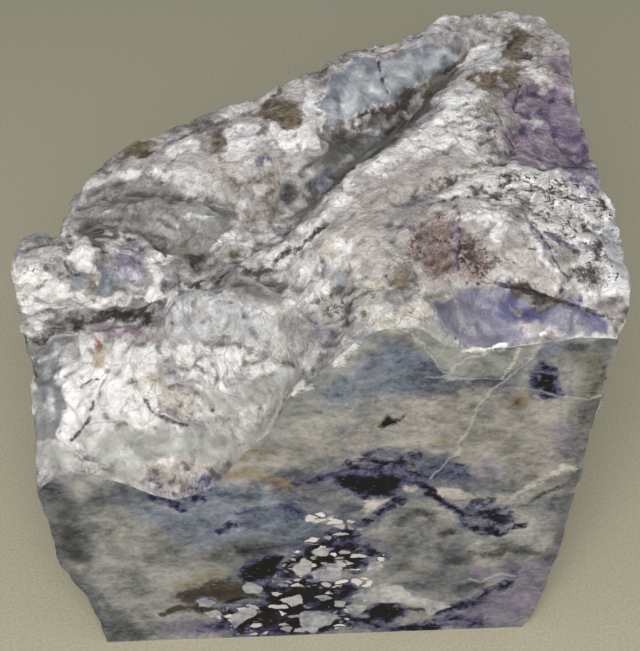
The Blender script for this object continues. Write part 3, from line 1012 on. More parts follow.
FACE_MARKS["ink"] = [
    # blue wash
    streak([(-17, 41), (-13, 42)], 0.62, 0.8),
    streak([(-21, 36), (-18, 38), (-14, 37), (-11, 39)], 0.7),
    streak([(-7, 43), (-5, 42), (-3, 40)], 0.75, 1.1),
    # blue smoke
    streak([(-35, 48), (-33, 46), (-29, 44), (-25, 46)], 0.8, 1.4),
    # black patch
    patch([(-17, 21), (-15, 25), (-12, 27), (-8, 26), (-9, 21), (-12, 19), (-15, 19)], 1.6, 1.7),
    # vein
    patch([(4, 53), (7, 56), (10, 58), (13, 59), (17, 59), (22, 59), (24, 56), (27, 55), (32, 53),
        (34, 49), (28, 48), (23, 48), (18, 48), (14, 46), (8, 46), (3, 48)], 0.42, 2.4),
    patch([(4, 51), (7, 52), (9, 51), (12, 51), (15, 51), (18, 50), (17, 46), (15, 45), (11, 45), (8, 47),
        (5, 48)], 1.5, 1.7),
    streak([(7, 55), (10, 56), (16, 55), (19, 55)], 0.7),
    streak([(24, 53), (27, 53), (31, 51)], 0.7, 1.7),
    streak([(-4, 49), (0, 50), (5, 53)], 0.8, 1.1),
    streak([(18, 49), (23, 48), (25, 46)], 0.8, 0.7),
    # tail
    streak([(24, 45), (27, 42), (29, 41), (31, 39), (33, 35), (36, 33), (39, 33)], 0.95, 0.8),
    patch([(30, 41), (35, 43), (42, 40), (44, 35), (38, 32), (32, 35)], 0.5, 1.7),
    patch([(35, 39), (36, 41), (39, 39), (42, 37), (40, 35), (37, 36), (35, 37)], 1.15, 1.7),
    streak([(40, 32), (43, 34), (45, 34)], 0.75, 0.7),
    # mottle
    streak([(9, 36), (13, 38), (15, 41), (18, 43)], 0.8, 1.1),
    # lower right
    streak([(27, 6), (31, 8), (35, 9), (38, 11), (40, 13), (43, 15)], 0.9, 1.1),
    streak([(27, 3), (31, 4), (38, 1)], 0.65, 1.7),
    # scratched cloud
    patch([(44, 75), (45, 79), (46, 81), (48, 79), (50, 73), (47, 72), (46, 74)], 1.05, 1.7),
    # bed
    patch([(-9, 21), (-5, 28), (-1, 32), (4, 35), (8, 35), (10, 31), (11, 26), (12, 22), (9, 21), (3, 23),
        (-2, 21), (-6, 19)], 1, 1.7),
    patch([(-12, 19), (-4, 20), (7, 18), (10, 15), (7, 11), (8, 2), (-4, 0), (-19, 1), (-23, 7), (-21, 11),
        (-12, 12)], 1.05, 1.7),
    # right belt
    patch([(11, 7), (14, 9), (17, 10), (20, 8), (20, 6), (16, 4), (12, 5)], 1.7, 1.7),
    streak([(4, 8), (8, 5), (12, 3), (17, 1), (27, 1)], 1, 1.2),
    # violet smoke
    patch([(-28, 7), (-22, 6), (-20, 1), (-27, 2)], 0.5, 1.7),
    streak([(11, 29), (14, 26)], 0.75, 1.7),
]
FACE_MARKS["ochre"] = [
    # ochre ledge
    streak([(-20, 52), (-15, 54), (-12, 52), (-7, 49), (-3, 49)], 0.9, 1.3),
    streak([(-16, 58), (-13, 60), (-11, 58)], 0.8, 1.2),
    # tan glow
    streak([(-31, 18), (-27, 21), (-21, 22)], 0.9, 1.2),
    # brown dot
    streak([(26, 61), (27, 61)], 0.95, 1.1),
    # rusty spot
    streak([(41, 70), (42, 72)], 1, 1.3),
    # ochre in the vein
    streak([(19, 55), (21, 52)]),
    streak([(11, 57), (12, 57)], 0.8, 0.7),
]
FACE_MARKS["soot"] = [
    # lower band
    streak([(-27, 10), (-24, 8)], 0.8, 0.7),
    # black fleck
    patch([(13, 66), (14, 68), (16, 68), (17, 68), (15, 66), (14, 65)], 1.3, 1),
    # ochre in the vein
    streak([(19.9, 54.2), (20.8, 53.3)], 1, 0.56),
    # bed
    streak([(-12, 17), (-6, 16), (1, 16), (7, 15)], 1, 0.8),
    streak([(-2, 14), (-2, 12)], 1.2, 1.5),
    streak([(-21, 12), (-15, 14), (-11, 13)], 1, 0.7),
    streak([(-13, 8), (-11, 6), (-13, 2)], 0.9),
]
FACE_MARKS["sand"] = [
    # sand
    patch([(25, 73), (32, 76), (42, 73), (56, 71), (57, 60), (55, 47), (44, 45), (32, 53),
        (24, 61)], 0.95, 2.3),
    patch([(-13, 61), (3, 63), (17, 72), (29, 73), (32, 64), (26, 57), (13, 60), (5, 58), (-3, 54),
        (-11, 55)], 1, 2.1),
]
FACE_MARKS["rib"] = [
    # long crack
    streak([(45.6, 86.3), (43.3, 82.4), (39.2, 77.7), (34.3, 72.5), (32.4, 69.2), (31.6, 64.7),
        (30.2, 60.2), (29, 56.2), (26.1, 53.1), (24.2, 49.6)], 1, 0.3),
    # cross crack
    streak([(22.5, 79), (26.2, 78.3), (32.7, 77.7), (37.6, 77.3)], 0.92, 0.3),
    # right crack
    streak([(40.3, 75), (45.7, 73.6), (50.3, 72.3), (55.8, 71.3), (58.2, 72.3)], 0.74, 0.3),
    # scalloped edge
    streak([(13.3, 91), (16.5, 91.6), (19.3, 90.2), (21.6, 87), (22.9, 83.8), (24.9, 81), (26.4, 78.5),
        (28.1, 81.7), (30.4, 83.5), (32.4, 83.4)], 0.83, 0.3),
    # white wisp
    streak([(34.1, 16.9), (37.3, 16.1), (39.1, 17.4), (41.7, 18.6), (44.5, 17.7)], 0.9, 0.33),
]
FACE_MARKS["crumbs"] = [
    # bed
    patch([(-9, 21), (-4, 30), (1, 35), (9, 38), (12, 31), (15, 26), (14, 16), (6, 12), (8, 2), (-4, 0),
        (-19, 1), (-23, 7), (-21, 11), (-12, 12)], 1, 0.9),
    patch([(-3, 40), (3, 41), (7, 39), (10, 36), (7, 34), (2, 35), (-1, 36)], 1, 0.7),
]
FACE_MARKS["shard"] = [patch(chip, 1.35, 0.4) for chip in (
    # pale angular pieces
    [(-16.5, 17.6), (-14.9, 18.6), (-12.1, 17.1), (-13.2, 15.4), (-15.9, 15.2)],
    [(-27.5, 13.5), (-25.2, 13.7), (-22.8, 12.2), (-24.7, 11), (-26.9, 11.4)],
    [(-20.7, 6.2), (-17.4, 10.2), (-14.7, 10.7), (-13.6, 8.6), (-16.2, 6), (-19, 3)],
    [(-25.2, 8.9), (-22.4, 9.5), (-21.6, 7.7), (-23.9, 7.1)],
    [(-8.3, 12.5), (-6.1, 13), (-3.6, 14.2), (-3.4, 11.5), (-5.6, 10.3)],
    [(-3.6, 8.1), (1.9, 7.8), (5.1, 6.2), (3, 3.5), (0.3, 2.3), (-0.2, 0.5), (-3, 1.7), (-3.9, 5.3)],
    [(-0.6, 13.4), (2.1, 13.9), (3.2, 12.5), (0.3, 12)],
    [(3.5, 11.1), (6.4, 11), (5.7, 9.3), (3.9, 9.7)],
    [(6.4, 9.2), (8.9, 10.1), (11.7, 9), (9.9, 6.6), (7.6, 7.5)],
    [(-4.6, 23), (-2.8, 26.2), (-1.3, 24.5), (-2.4, 21.2), (-4.2, 20)],
    [(-2, 20.9), (1.2, 22), (5.6, 21.8), (6.3, 19.1), (4.1, 17.9), (-0.4, 18.5)],
    [(-1.3, 27.7), (1.2, 29.5), (3.2, 29.4), (2.1, 27.2), (-0.4, 26.7)],
    [(0.3, 24.4), (3.4, 23.9), (5.8, 25.1), (6.3, 23.1), (3, 22.6)],
    [(11.2, 23.2), (13.6, 24), (14.8, 22), (12.8, 19.1), (11, 19.8)],
    [(7.8, 12.3), (12, 14.8), (15.1, 16.6), (18.3, 15.4), (20.7, 12.9), (24.7, 9.3), (20.1, 9.9),
     (15.5, 10.5), (11, 11.1)],
    [(24.4, 10.7), (27.2, 10.2), (30.7, 8.3), (28.3, 6.7), (25.1, 5.1), (24, 8.6)],
)]

MARKS = {sort: SKIN_MARKS.get(sort, []) + [
    (closed, width, strength, [(x, low[1], z) for x, z in path])
    for closed, width, strength, path in FACE_MARKS.get(sort, [])]
    for sort in (*SKIN_MARKS, *(s for s in FACE_MARKS if s not in SKIN_MARKS))}


def inside_outline(spots, edges):
    """True for each spot inside the closed edges, given as pairs of ends."""
    inside = np.zeros(len(spots), bool)
    for a, b in edges:
        if a[1] == b[1]:
            continue
        crosses = (a[1] > spots[:, 1]) != (b[1] > spots[:, 1])
        inside ^= crosses & (spots[:, 0] < a[0] + (b[0] - a[0]) * (spots[:, 1] - a[1]) / (b[1] - a[1]))
    return inside


def gap_to_outline(places, outline):
    """Signed distance to a closed outline, negative inside, measured in its own plane."""
    outline = np.asarray(outline, float)
    centre = outline.mean(axis=0)
    _, _, axes = np.linalg.svd(outline - centre)
    flat = (outline - centre) @ axes[:2].T
    q = (places - centre) @ axes[:2].T
    off = np.abs((places - centre) @ axes[2])
    slack = np.abs((outline - centre) @ axes[2]).max() + 1.5
    sides = list(zip(flat, np.roll(flat, -1, axis=0)))
    gap = gap_to_parts(q, sides) * np.where(inside_outline(q, sides), -1, 1)
    return np.where(off > slack, np.hypot(np.maximum(gap, 0), off - slack), gap)


def cover(places, marks):
    """How strongly a sort of stone shows at each place: half of a mark's strength at its outline."""
    total = np.zeros(len(places))
    for closed, width, strength, line in marks:
        line = np.array(line)
        reach = 2 * width + 2
        near = ((places > line.min(axis=0) - reach) & (places < line.max(axis=0) + reach))
        near = near.all(axis=1)
        if not near.any():
            continue
        if closed:
            gap = gap_to_outline(places[near], line)
            value = (0.5 - gap / (2 * width)).clip(0, 1)
        else:
            gap = gap_to_line(places[near], line)
            value = (1 - 0.5 * gap / width).clip(0, 1)
        total[near] = np.maximum(total[near], strength * value)
    return total


# ---- sawn faces -----------------------------------------------------------------------------
# A diamond saw cut the base and the front flat, and the front was then ground and polished.
# Both are filled anew inside the broken skin's edge, finest where the polished face's pattern is.
FACE_SPACING = 1.25
BRECCIA_SPACING = 0.72
VEIN_SPACING = 0.42
VEIN_REACH = 0.9
VEIN_WIDTH = 0.6            # a mark narrower than this is a vein
FINE_SORTS = ("ink", "soot", "umber", "cream", "shard", "crumbs", "rib")
BASE_SPACING = 4.5
SAWN_EDGE_SPACING = 0.9
RIM_GAP = 0.45              # new points keep this share of their spacing away from the rim


def hexagons(corner_a, corner_b, spacing):
    """Evenly spaced spots over a rectangle, every other row shifted."""
    rows = np.arange(corner_a[1], corner_b[1], spacing * math.sqrt(3) / 2)
    return np.array([(x + spacing / 2 * (i % 2), y) for i, y in enumerate(rows)
                     for x in np.arange(corner_a[0], corner_b[0], spacing)])


def fill_sawn(rim, edges, across, spacings, spacing_at):
    """Triangles that fill a sawn face. Gives the new spots and the faces, in the rim's
    numbers first and then the new spots'. across holds the face's two axes, turned so that
    counter-clockwise is outwards."""
    flat = rim[:, across]
    ends = [(flat[a], flat[b]) for a, b in edges]
    spots = []
    for spacing in spacings:
        grid = hexagons(flat.min(axis=0), flat.max(axis=0), spacing)
        grid = grid[spacing_at(grid) == spacing]
        grid = grid[inside_outline(grid, ends)]
        spots.append(grid[gap_to_parts(grid, ends) > RIM_GAP * spacing])
    spots = np.concatenate(spots)
    every = np.concatenate([flat, spots])
    made = geometry.delaunay_2d_cdt([Vector(p) for p in every.tolist()],
                                    [tuple(int(i) for i in e) for e in edges], [], 0, 1e-7, True)
    source = [ids[0] if ids else -1 for ids in made[3]]
    triangles = np.array([[source[i] for i in face] for face in made[2]])
    triangles = triangles[(triangles >= 0).all(axis=1)]
    return spots, triangles[inside_outline(every[triangles].mean(axis=1), ends)]


SKIN_WARP = ((4.5, 1.5), (1.5, 0.55))      # sizes and throws that make the marks' outlines wander
FACE_WARP = ((3.5, 0.45), (1.1, 0.22))


def wander(places, throws, seed):
    """Places moved about by soft noise."""
    moved = places.copy()
    for turn, (size, throw) in enumerate(throws):
        for axis in range(3):
            moved[:, axis] += throw * cloud(places, size, seed + 3 * turn + axis)
    return moved


def strengths(places):
    """The cover of every sort of stone, and how deep each place lies in a crack."""
    on_face = places[:, 1] < low[1] + SAWN_GAP
    moved = wander(places, SKIN_WARP, 40)
    moved[on_face] = wander(places[on_face], FACE_WARP, 60)
    moved[on_face, 1] = low[1]
    found = {sort: cover(moved, marks) for sort, marks in MARKS.items()}
    near = wander(places, ((1.8, 0.3),), 80)
    crack = np.zeros(len(places))
    for line, width in CRACKS.values():
        crack = np.maximum(crack, cover(near, [(False, 2 * width, 1.0, line)]))
    found["crack"] = crack
    return found


def wall_share(places, normals):
    """1 on the back and side walls, which carry no marks of their own, and 0 on the rest."""
    y, z = places[:, 1], places[:, 2]
    low_wall = np.clip((y - low[1] - WALL_BEHIND[0]) / WALL_BEHIND[1], 0, 1)
    low_wall *= np.clip((WALL_BELOW[0] - z) / WALL_BELOW[1], 0, 1)
    steep = np.clip((WALL_STEEP[0] - normals[:, 2]) / WALL_STEEP[1], 0, 1)
    return np.maximum(low_wall, steep * (y > low[1] + WALL_KEEP))


def broken_relief(places, normals, found):
    """How far the broken skin stands out or in at each place."""
    weight = np.full(len(places), PLAIN_WEIGHT)
    amount = np.outer(weight, PLAIN_BREAK)
    for sort, strength in BREAKS.items():
        share = np.clip(found[sort] * 1.4, 0, 1.2) ** 1.5
        weight += share
        amount += share[:, None] * np.array(strength)
    amount /= weight[:, None]
    hidden = wall_share(places, normals)
    amount += (np.array(WALL_BREAK) - amount) * hidden[:, None]
    big, _ = chips(places, RELIEF["big"][0], 1)
    chip, _ = chips(places, RELIEF["chip"][0], 2)
    _, grain = chips(places, RELIEF["grain"][0], 3)
    layer = split_layers(places)
    side, _ = chips(places, SIDE_RELIEF[0], 5)
    out = amount[:, 0] * (RELIEF["big"][1] * big + RELIEF["chip"][1] * chip)
    out += amount[:, 1] * RELIEF["layer"] * (layer - 0.5 * np.abs(layer))
    out += amount[:, 2] * RELIEF["grain"][1] * (0.45 - grain)
    out += amount.mean(axis=1) * RELIEF["dust"][1] * cloud(places, RELIEF["dust"][0], 6)
    out += hidden * SIDE_RELIEF[1] * side
    out -= CRACK_DEPTH * found["crack"]
    return out, layer


normals = point_normals(points, faces)
found = strengths(points)
raised, layer = broken_relief(points, normals, found)
push = normals * raised[:, None]
_, rim_edge, on_rim = rim_of(points, faces)
on_front = on_rim & (points[:, 1] < low[1] + SAWN_GAP)
on_base = on_rim & (points[:, 2] < SAWN_GAP)
push[on_front, 1] = 0
push[on_base, 2] = 0
push[on_front & on_base] = 0
push[on_rim] *= RIM_SHARE
skin = points + push

# The straight edge between the two sawn faces closes both of their outlines.
edges, rim_edge, _ = rim_of(points, faces)
rim_pairs = edges[rim_edge]
corner = np.nonzero(on_front & on_base)[0]
pieces = round(np.linalg.norm(skin[corner[0]] - skin[corner[1]]) / SAWN_EDGE_SPACING)
share = np.arange(1, pieces)[:, None] / pieces
straight = skin[corner[0]] * (1 - share) + skin[corner[1]] * share
chain = np.concatenate([[corner[0]], len(skin) + np.arange(pieces - 1), [corner[1]]])
skin = np.concatenate([skin, straight])
shared = np.stack([chain[:-1], chain[1:]], 1)
front_pairs = rim_pairs[(on_front[rim_pairs]).all(axis=1)]
base_pairs = rim_pairs[~(on_front[rim_pairs]).all(axis=1)]


def on_plane(spots):
    """Spots of the polished face as places of the stone."""
    return np.stack([spots[:, 0], np.full(len(spots), low[1]), spots[:, 1]], 1)


def front_spacing(spots):
    """How far apart the polished face's points stand: closest along its veins."""
    wanted = np.full(len(spots), FACE_SPACING)
    places = on_plane(spots)
    for sort in FINE_SORTS:
        wanted[cover(places, MARKS[sort]) > 0.02] = BRECCIA_SPACING
    for sort in FINE_SORTS:
        for closed, width, _, line in MARKS[sort]:
            if not closed and width < VEIN_WIDTH:
                wanted[gap_to_line(places, line) < VEIN_REACH] = VEIN_SPACING
    return wanted


def fill(pairs, across, spacings, spacing_at, level):
    """Fill one sawn face and give the new points and the triangles in the whole mesh's numbers."""
    pairs = np.concatenate([pairs, shared])
    used, numbered = np.unique(pairs, return_inverse=True)
    spots, triangles = fill_sawn(skin[used], numbered.reshape(-1, 2), across, spacings, spacing_at)
    places = np.zeros((len(spots), 3))
    places[:, across] = spots
    places[:, 3 - sum(across)] = level
    return used, places, triangles


front_used, front_places, front_faces = fill(
    front_pairs, [0, 2], (VEIN_SPACING, BRECCIA_SPACING, FACE_SPACING), front_spacing, low[1])
base_used, base_places, base_faces = fill(
    base_pairs, [1, 0], (BASE_SPACING,), lambda spots: np.full(len(spots), BASE_SPACING), 0.0)

front_numbers = np.concatenate([front_used, len(skin) + np.arange(len(front_places))])
base_start = len(skin) + len(front_places)
base_numbers = np.concatenate([base_used, base_start + np.arange(len(base_places))])
every_point = np.concatenate([skin, front_places, base_places])
every_face = np.concatenate([faces, front_numbers[front_faces], base_numbers[base_faces]])
finish = np.repeat([0, 1, 2], [len(faces), len(front_faces), len(base_faces)])

# Everything that the materials read is measured where the stone was before it broke up.
unbroken = np.concatenate([points, straight, front_places, base_places])
found = strengths(unbroken)
found["layer"] = split_layers(unbroken) * 0.5 + 0.5
fine_normals = point_normals(every_point, every_face)
meeting = edges_of(every_face)[0]
count = np.bincount(meeting.ravel(), minlength=len(every_point))
one, other = np.concatenate([meeting, meeting[:, ::-1]]).T
around = np.stack([np.bincount(one, every_point[other, i], len(every_point)) for i in range(3)], 1)
around /= count[:, None]
hollow = ((around - every_point) * fine_normals).sum(axis=1)
for _ in range(2):
    spread = np.bincount(one, hollow[other], len(every_point))
    hollow = 0.5 * hollow + 0.5 * spread / count
found["hollow"] = np.clip(0.5 + hollow / HOLLOW_SPAN, 0, 1)
found["wall"] = wall_share(unbroken, fine_normals)

mesh = bpy.data.meshes.new("dressed_stone")
mesh.from_pydata((every_point * MM).tolist(), [], every_face.tolist())
for sort, values in found.items():
    held = mesh.attributes.new(sort, "FLOAT", "POINT")
    held.data.foreach_set("value", values.astype(np.float32))
mesh.polygons.foreach_set("material_index", finish.astype(np.int32))
mesh.polygons.foreach_set("use_smooth", np.ones(len(every_face), bool))
mesh.validate()
stone = bpy.data.objects.new("dressed_stone", mesh)
bpy.context.scene.collection.objects.link(stone)
sharp = mesh.attributes.new("sharp_edge", "BOOLEAN", "EDGE")
ends = np.empty(len(mesh.edges) * 2, int)
mesh.edges.foreach_get("vertices", ends)
ends = ends.reshape(-1, 2)
flat_front = np.isin(np.arange(len(every_point)), front_numbers[:len(front_used)])
flat_base = np.isin(np.arange(len(every_point)), base_numbers[:len(base_used)])
sharp.data.foreach_set("value", flat_front[ends].all(axis=1) | flat_base[ends].all(axis=1))


# ---- the stone's colours and finishes ---------------------------------------------------------
# Chalky clay is dead matt, opal and fluorite have a greasy to glassy shine, and the polished
# face is smooth. Each sort of stone is laid over the last with a ragged, grainy edge.
def paint(red, green, blue):
    """A colour given as it looks, turned into the shader's light values."""
    return tuple(((c / 255 + 0.055) / 1.055) ** 2.4 if c > 10 else c / 3294.6
                 for c in (red, green, blue)) + (1.0,)


def new_group(name, inputs, outputs):
    """An empty shader node group with named inputs and outputs."""
    group = bpy.data.node_groups.new(name, "ShaderNodeTree")
    for title, kind, value in inputs:
        socket = group.interface.new_socket(title, in_out="INPUT", socket_type=kind)
        if value is not None:
            socket.default_value = value
    for title, kind in outputs:
        group.interface.new_socket(title, in_out="OUTPUT", socket_type=kind)
    return group, group.nodes.new("NodeGroupInput"), group.nodes.new("NodeGroupOutput")


def add_node(tree, kind, values=(), links=(), **settings):
    """Add a node, set its settings and socket values, and link what feeds it."""
    made = tree.nodes.new(kind)
    for key, value in settings.items():
        setattr(made, key, value)
    for key, value in dict(values).items():
        made.inputs[key].default_value = value
    for key, source in dict(links).items():
        tree.links.new(source, made.inputs[key])
    return made


def calculate(tree, operation, *terms, clamp=False):
    """A Math node fed by sockets or numbers."""
    made = tree.nodes.new("ShaderNodeMath")
    made.operation = operation
    made.use_clamp = clamp
    for place, term in enumerate(terms):
        if isinstance(term, (int, float)):
            made.inputs[place].default_value = term
        else:
            tree.links.new(term, made.inputs[place])
    return made.outputs[0]


def times(tree, value, share):
    """One value scaled by another."""
    return calculate(tree, "MULTIPLY", value, share)


def lay_over(tree, share, under, over):
    """Mix one colour over another by a share."""
    made = tree.nodes.new("ShaderNodeMix")
    made.data_type = "RGBA"
    for place, term in ((0, share), (6, under), (7, over)):
        if isinstance(term, (tuple, float)):
            made.inputs[place].default_value = term
        else:
            tree.links.new(term, made.inputs[place])
    return made.outputs[2]


def ragged_patch_group():
    """Turns a mark's strength into a torn mask that thins out in spots."""
    group, given, put = new_group(
        "ragged patch",
        [("Strength", "NodeSocketFloat", 0.0), ("Ragging", "NodeSocketFloat", 0.5),
         ("Thinning", "NodeSocketFloat", 0.5), ("Tear", "NodeSocketFloat", 0.5),
         ("Softness", "NodeSocketFloat", 0.2), ("Solid", "NodeSocketFloat", 1.0)],
        [("Mask", "NodeSocketFloat")])
    noise = calculate(group, "MULTIPLY", calculate(group, "SUBTRACT", given.outputs["Ragging"], 0.5), 2.4)
    whole = calculate(group, "MULTIPLY_ADD", noise, given.outputs["Tear"], given.outputs["Strength"])
    start = calculate(group, "SUBTRACT", 0.5, given.outputs["Softness"])
    end = calculate(group, "ADD", 0.5, given.outputs["Softness"])
    ramp = add_node(group, "ShaderNodeMapRange", interpolation_type="SMOOTHSTEP",
                    links={"Value": whole, "From Min": start, "From Max": end})
    present = add_node(group, "ShaderNodeMapRange", links={"Value": given.outputs["Strength"]},
                       values={"From Min": 0.02, "From Max": 0.2}).outputs[0]
    spotted = calculate(group, "SUBTRACT", given.outputs["Thinning"], 0.36)
    spotted = calculate(group, "MULTIPLY", spotted, 6.0, clamp=True)
    bare = calculate(group, "SUBTRACT", 1.0, given.outputs["Solid"])
    kept = calculate(group, "MULTIPLY_ADD", spotted, bare, given.outputs["Solid"])
    mask = calculate(group, "MULTIPLY", calculate(group, "MULTIPLY", ramp.outputs[0], present), kept)
    group.links.new(mask, put.inputs["Mask"])
    return group


RAGGED = ragged_patch_group()


def noise_of(tree, place, scale, detail=4.0, roughness=0.6, distortion=0.0):
    """Noise in the stone's own space. The scale is in lumps per metre."""
    return add_node(tree, "ShaderNodeTexNoise", links={"Vector": place},
                    values={"Scale": scale, "Detail": detail, "Roughness": roughness,
                            "Distortion": distortion}).outputs["Fac"]


def carried(tree, name):
    """A value that the mesh's points carry."""
    return add_node(tree, "ShaderNodeAttribute", attribute_name=name).outputs["Fac"]


def mark_of(tree, sort, ragging, tear, softness, thinning=None, solid=1.0):
    """The mask of one sort of stone, read from the mesh."""
    strength = carried(tree, sort)
    ragged = add_node(tree, "ShaderNodeGroup", node_tree=RAGGED)
    ragged.inputs["Tear"].default_value = tear
    ragged.inputs["Softness"].default_value = softness
    ragged.inputs["Solid"].default_value = solid
    tree.links.new(strength, ragged.inputs["Strength"])
    tree.links.new(ragging, ragged.inputs["Ragging"])
    if thinning:
        tree.links.new(thinning, ragged.inputs["Thinning"])
    return ragged.outputs["Mask"]


def ramp_of(tree, share, stops):
    """A colour ramp with (place, colour) stops."""
    made = add_node(tree, "ShaderNodeValToRGB", links={"Fac": share})
    ramp = made.color_ramp
    while len(ramp.elements) < len(stops):
        ramp.elements.new(0.5)
    for element, (place, colour) in zip(ramp.elements, stops):
        element.position = place
        element.color = colour
    return made.outputs[0]


def new_material(name):
    """A material with an empty Principled shader, and its place in the stone's own space."""
    material = bpy.data.materials.new(name)
    material.use_nodes = True
    tree = material.node_tree
    shader = tree.nodes["Principled BSDF"]
    place = add_node(tree, "ShaderNodeTexCoord").outputs["Object"]
    return material, tree, shader, place


# Sorts laid over the broken skin, in order: two shades that it wanders between, the noise
# that tears its edge, how deep the tears are, how soft the edge is and how solid the patch.
SKIN_SORTS = [
    ("grey", (92, 92, 88), (170, 169, 164), "coarse", 0.6, 0.35, 0.8),
    ("shade", (54, 52, 47), (118, 116, 109), "coarse", 0.4, 0.4, 0.97),
    ("pink", (150, 142, 138), (210, 203, 198), "coarse", 0.6, 0.45, 0.65),
    ("cream", (176, 170, 158), (226, 220, 208), "coarse", 0.6, 0.35, 0.7),
    ("mauve", (106, 92, 104), (168, 150, 162), "fine", 0.6, 0.4, 0.8),
    ("gloss", (88, 90, 90), (130, 131, 131), "coarse", 0.35, 0.3, 1.0),
    ("lilac", (70, 68, 80), (106, 104, 118), "coarse", 0.45, 0.45, 1.0),
    ("dusk", (42, 42, 84), (86, 87, 126), "coarse", 0.7, 0.5, 0.95),
    ("bluet", (84, 90, 102), (142, 147, 154), "coarse", 0.6, 0.4, 0.75),
    ("haze", (128, 120, 114), (176, 170, 164), "coarse", 0.6, 0.4, 0.7),
    ("chalk", (186, 184, 184), (246, 245, 243), "coarse", 0.7, 0.3, 0.9),
    ("sage", (114, 115, 111), (170, 170, 165), "coarse", 0.6, 0.4, 0.9),
    ("tan", (164, 148, 126), (204, 192, 172), "fine", 0.6, 0.3, 0.7),
    ("slate", (82, 88, 98), (138, 143, 150), "fine", 0.55, 0.35, 0.85),
    ("ice", (116, 118, 122), (186, 188, 191), "coarse", 0.5, 0.4, 0.9),
    ("olive", (66, 55, 38), (136, 122, 98), "fine", 0.7, 0.4, 0.8),
    ("rose", (84, 68, 62), (160, 138, 130), "fine", 0.9, 0.5, 0.6),
    ("violet", (84, 72, 98), (156, 142, 164), "fine", 0.75, 0.4, 0.6),
    ("pearl", (152, 152, 154), (222, 222, 223), "fine", 0.7, 0.4, 0.75),
    ("indigo", (48, 42, 74), (104, 94, 126), "fine", 0.7, 0.3, 0.7),
    ("rust", (130, 86, 68), (176, 128, 106), "fine", 0.75, 0.3, 0.65),
    ("crust", (118, 110, 106), (206, 197, 190), "fine", 0.8, 0.2, 0.55),
    ("umber", (26, 22, 22), (82, 72, 66), "fine", 0.75, 0.35, 0.85)]


def stretched(tree, value, start, end, low_out=0.0, high_out=1.0):
    """A value spread from one range to another and held there."""
    return add_node(tree, "ShaderNodeMapRange", links={"Value": value},
                    values={"From Min": start, "From Max": end, "To Min": low_out,
                            "To Max": high_out}).outputs[0]


def crackle(tree, place, scale, sway, width, seed_turn):
    """Thin cracks between the cells of a net that wanders: 1 on a crack, 0 off it."""
    turned = add_node(tree, "ShaderNodeMapping", links={"Vector": place},
                      values={"Rotation": seed_turn}).outputs[0]
    swayed = add_node(tree, "ShaderNodeMix", data_type="VECTOR", values={0: sway})
    tree.links.new(turned, swayed.inputs[4])
    shake = add_node(tree, "ShaderNodeTexNoise", links={"Vector": place},
                     values={"Scale": scale * 1.3, "Detail": 4.0, "Roughness": 0.65})
    tree.links.new(shake.outputs["Color"], swayed.inputs[5])
    net = add_node(tree, "ShaderNodeTexVoronoi", feature="DISTANCE_TO_EDGE",
                   links={"Vector": swayed.outputs[1]}, values={"Scale": scale})
    return stretched(tree, net.outputs["Distance"], 0.0, width, 1.0, 0.0)


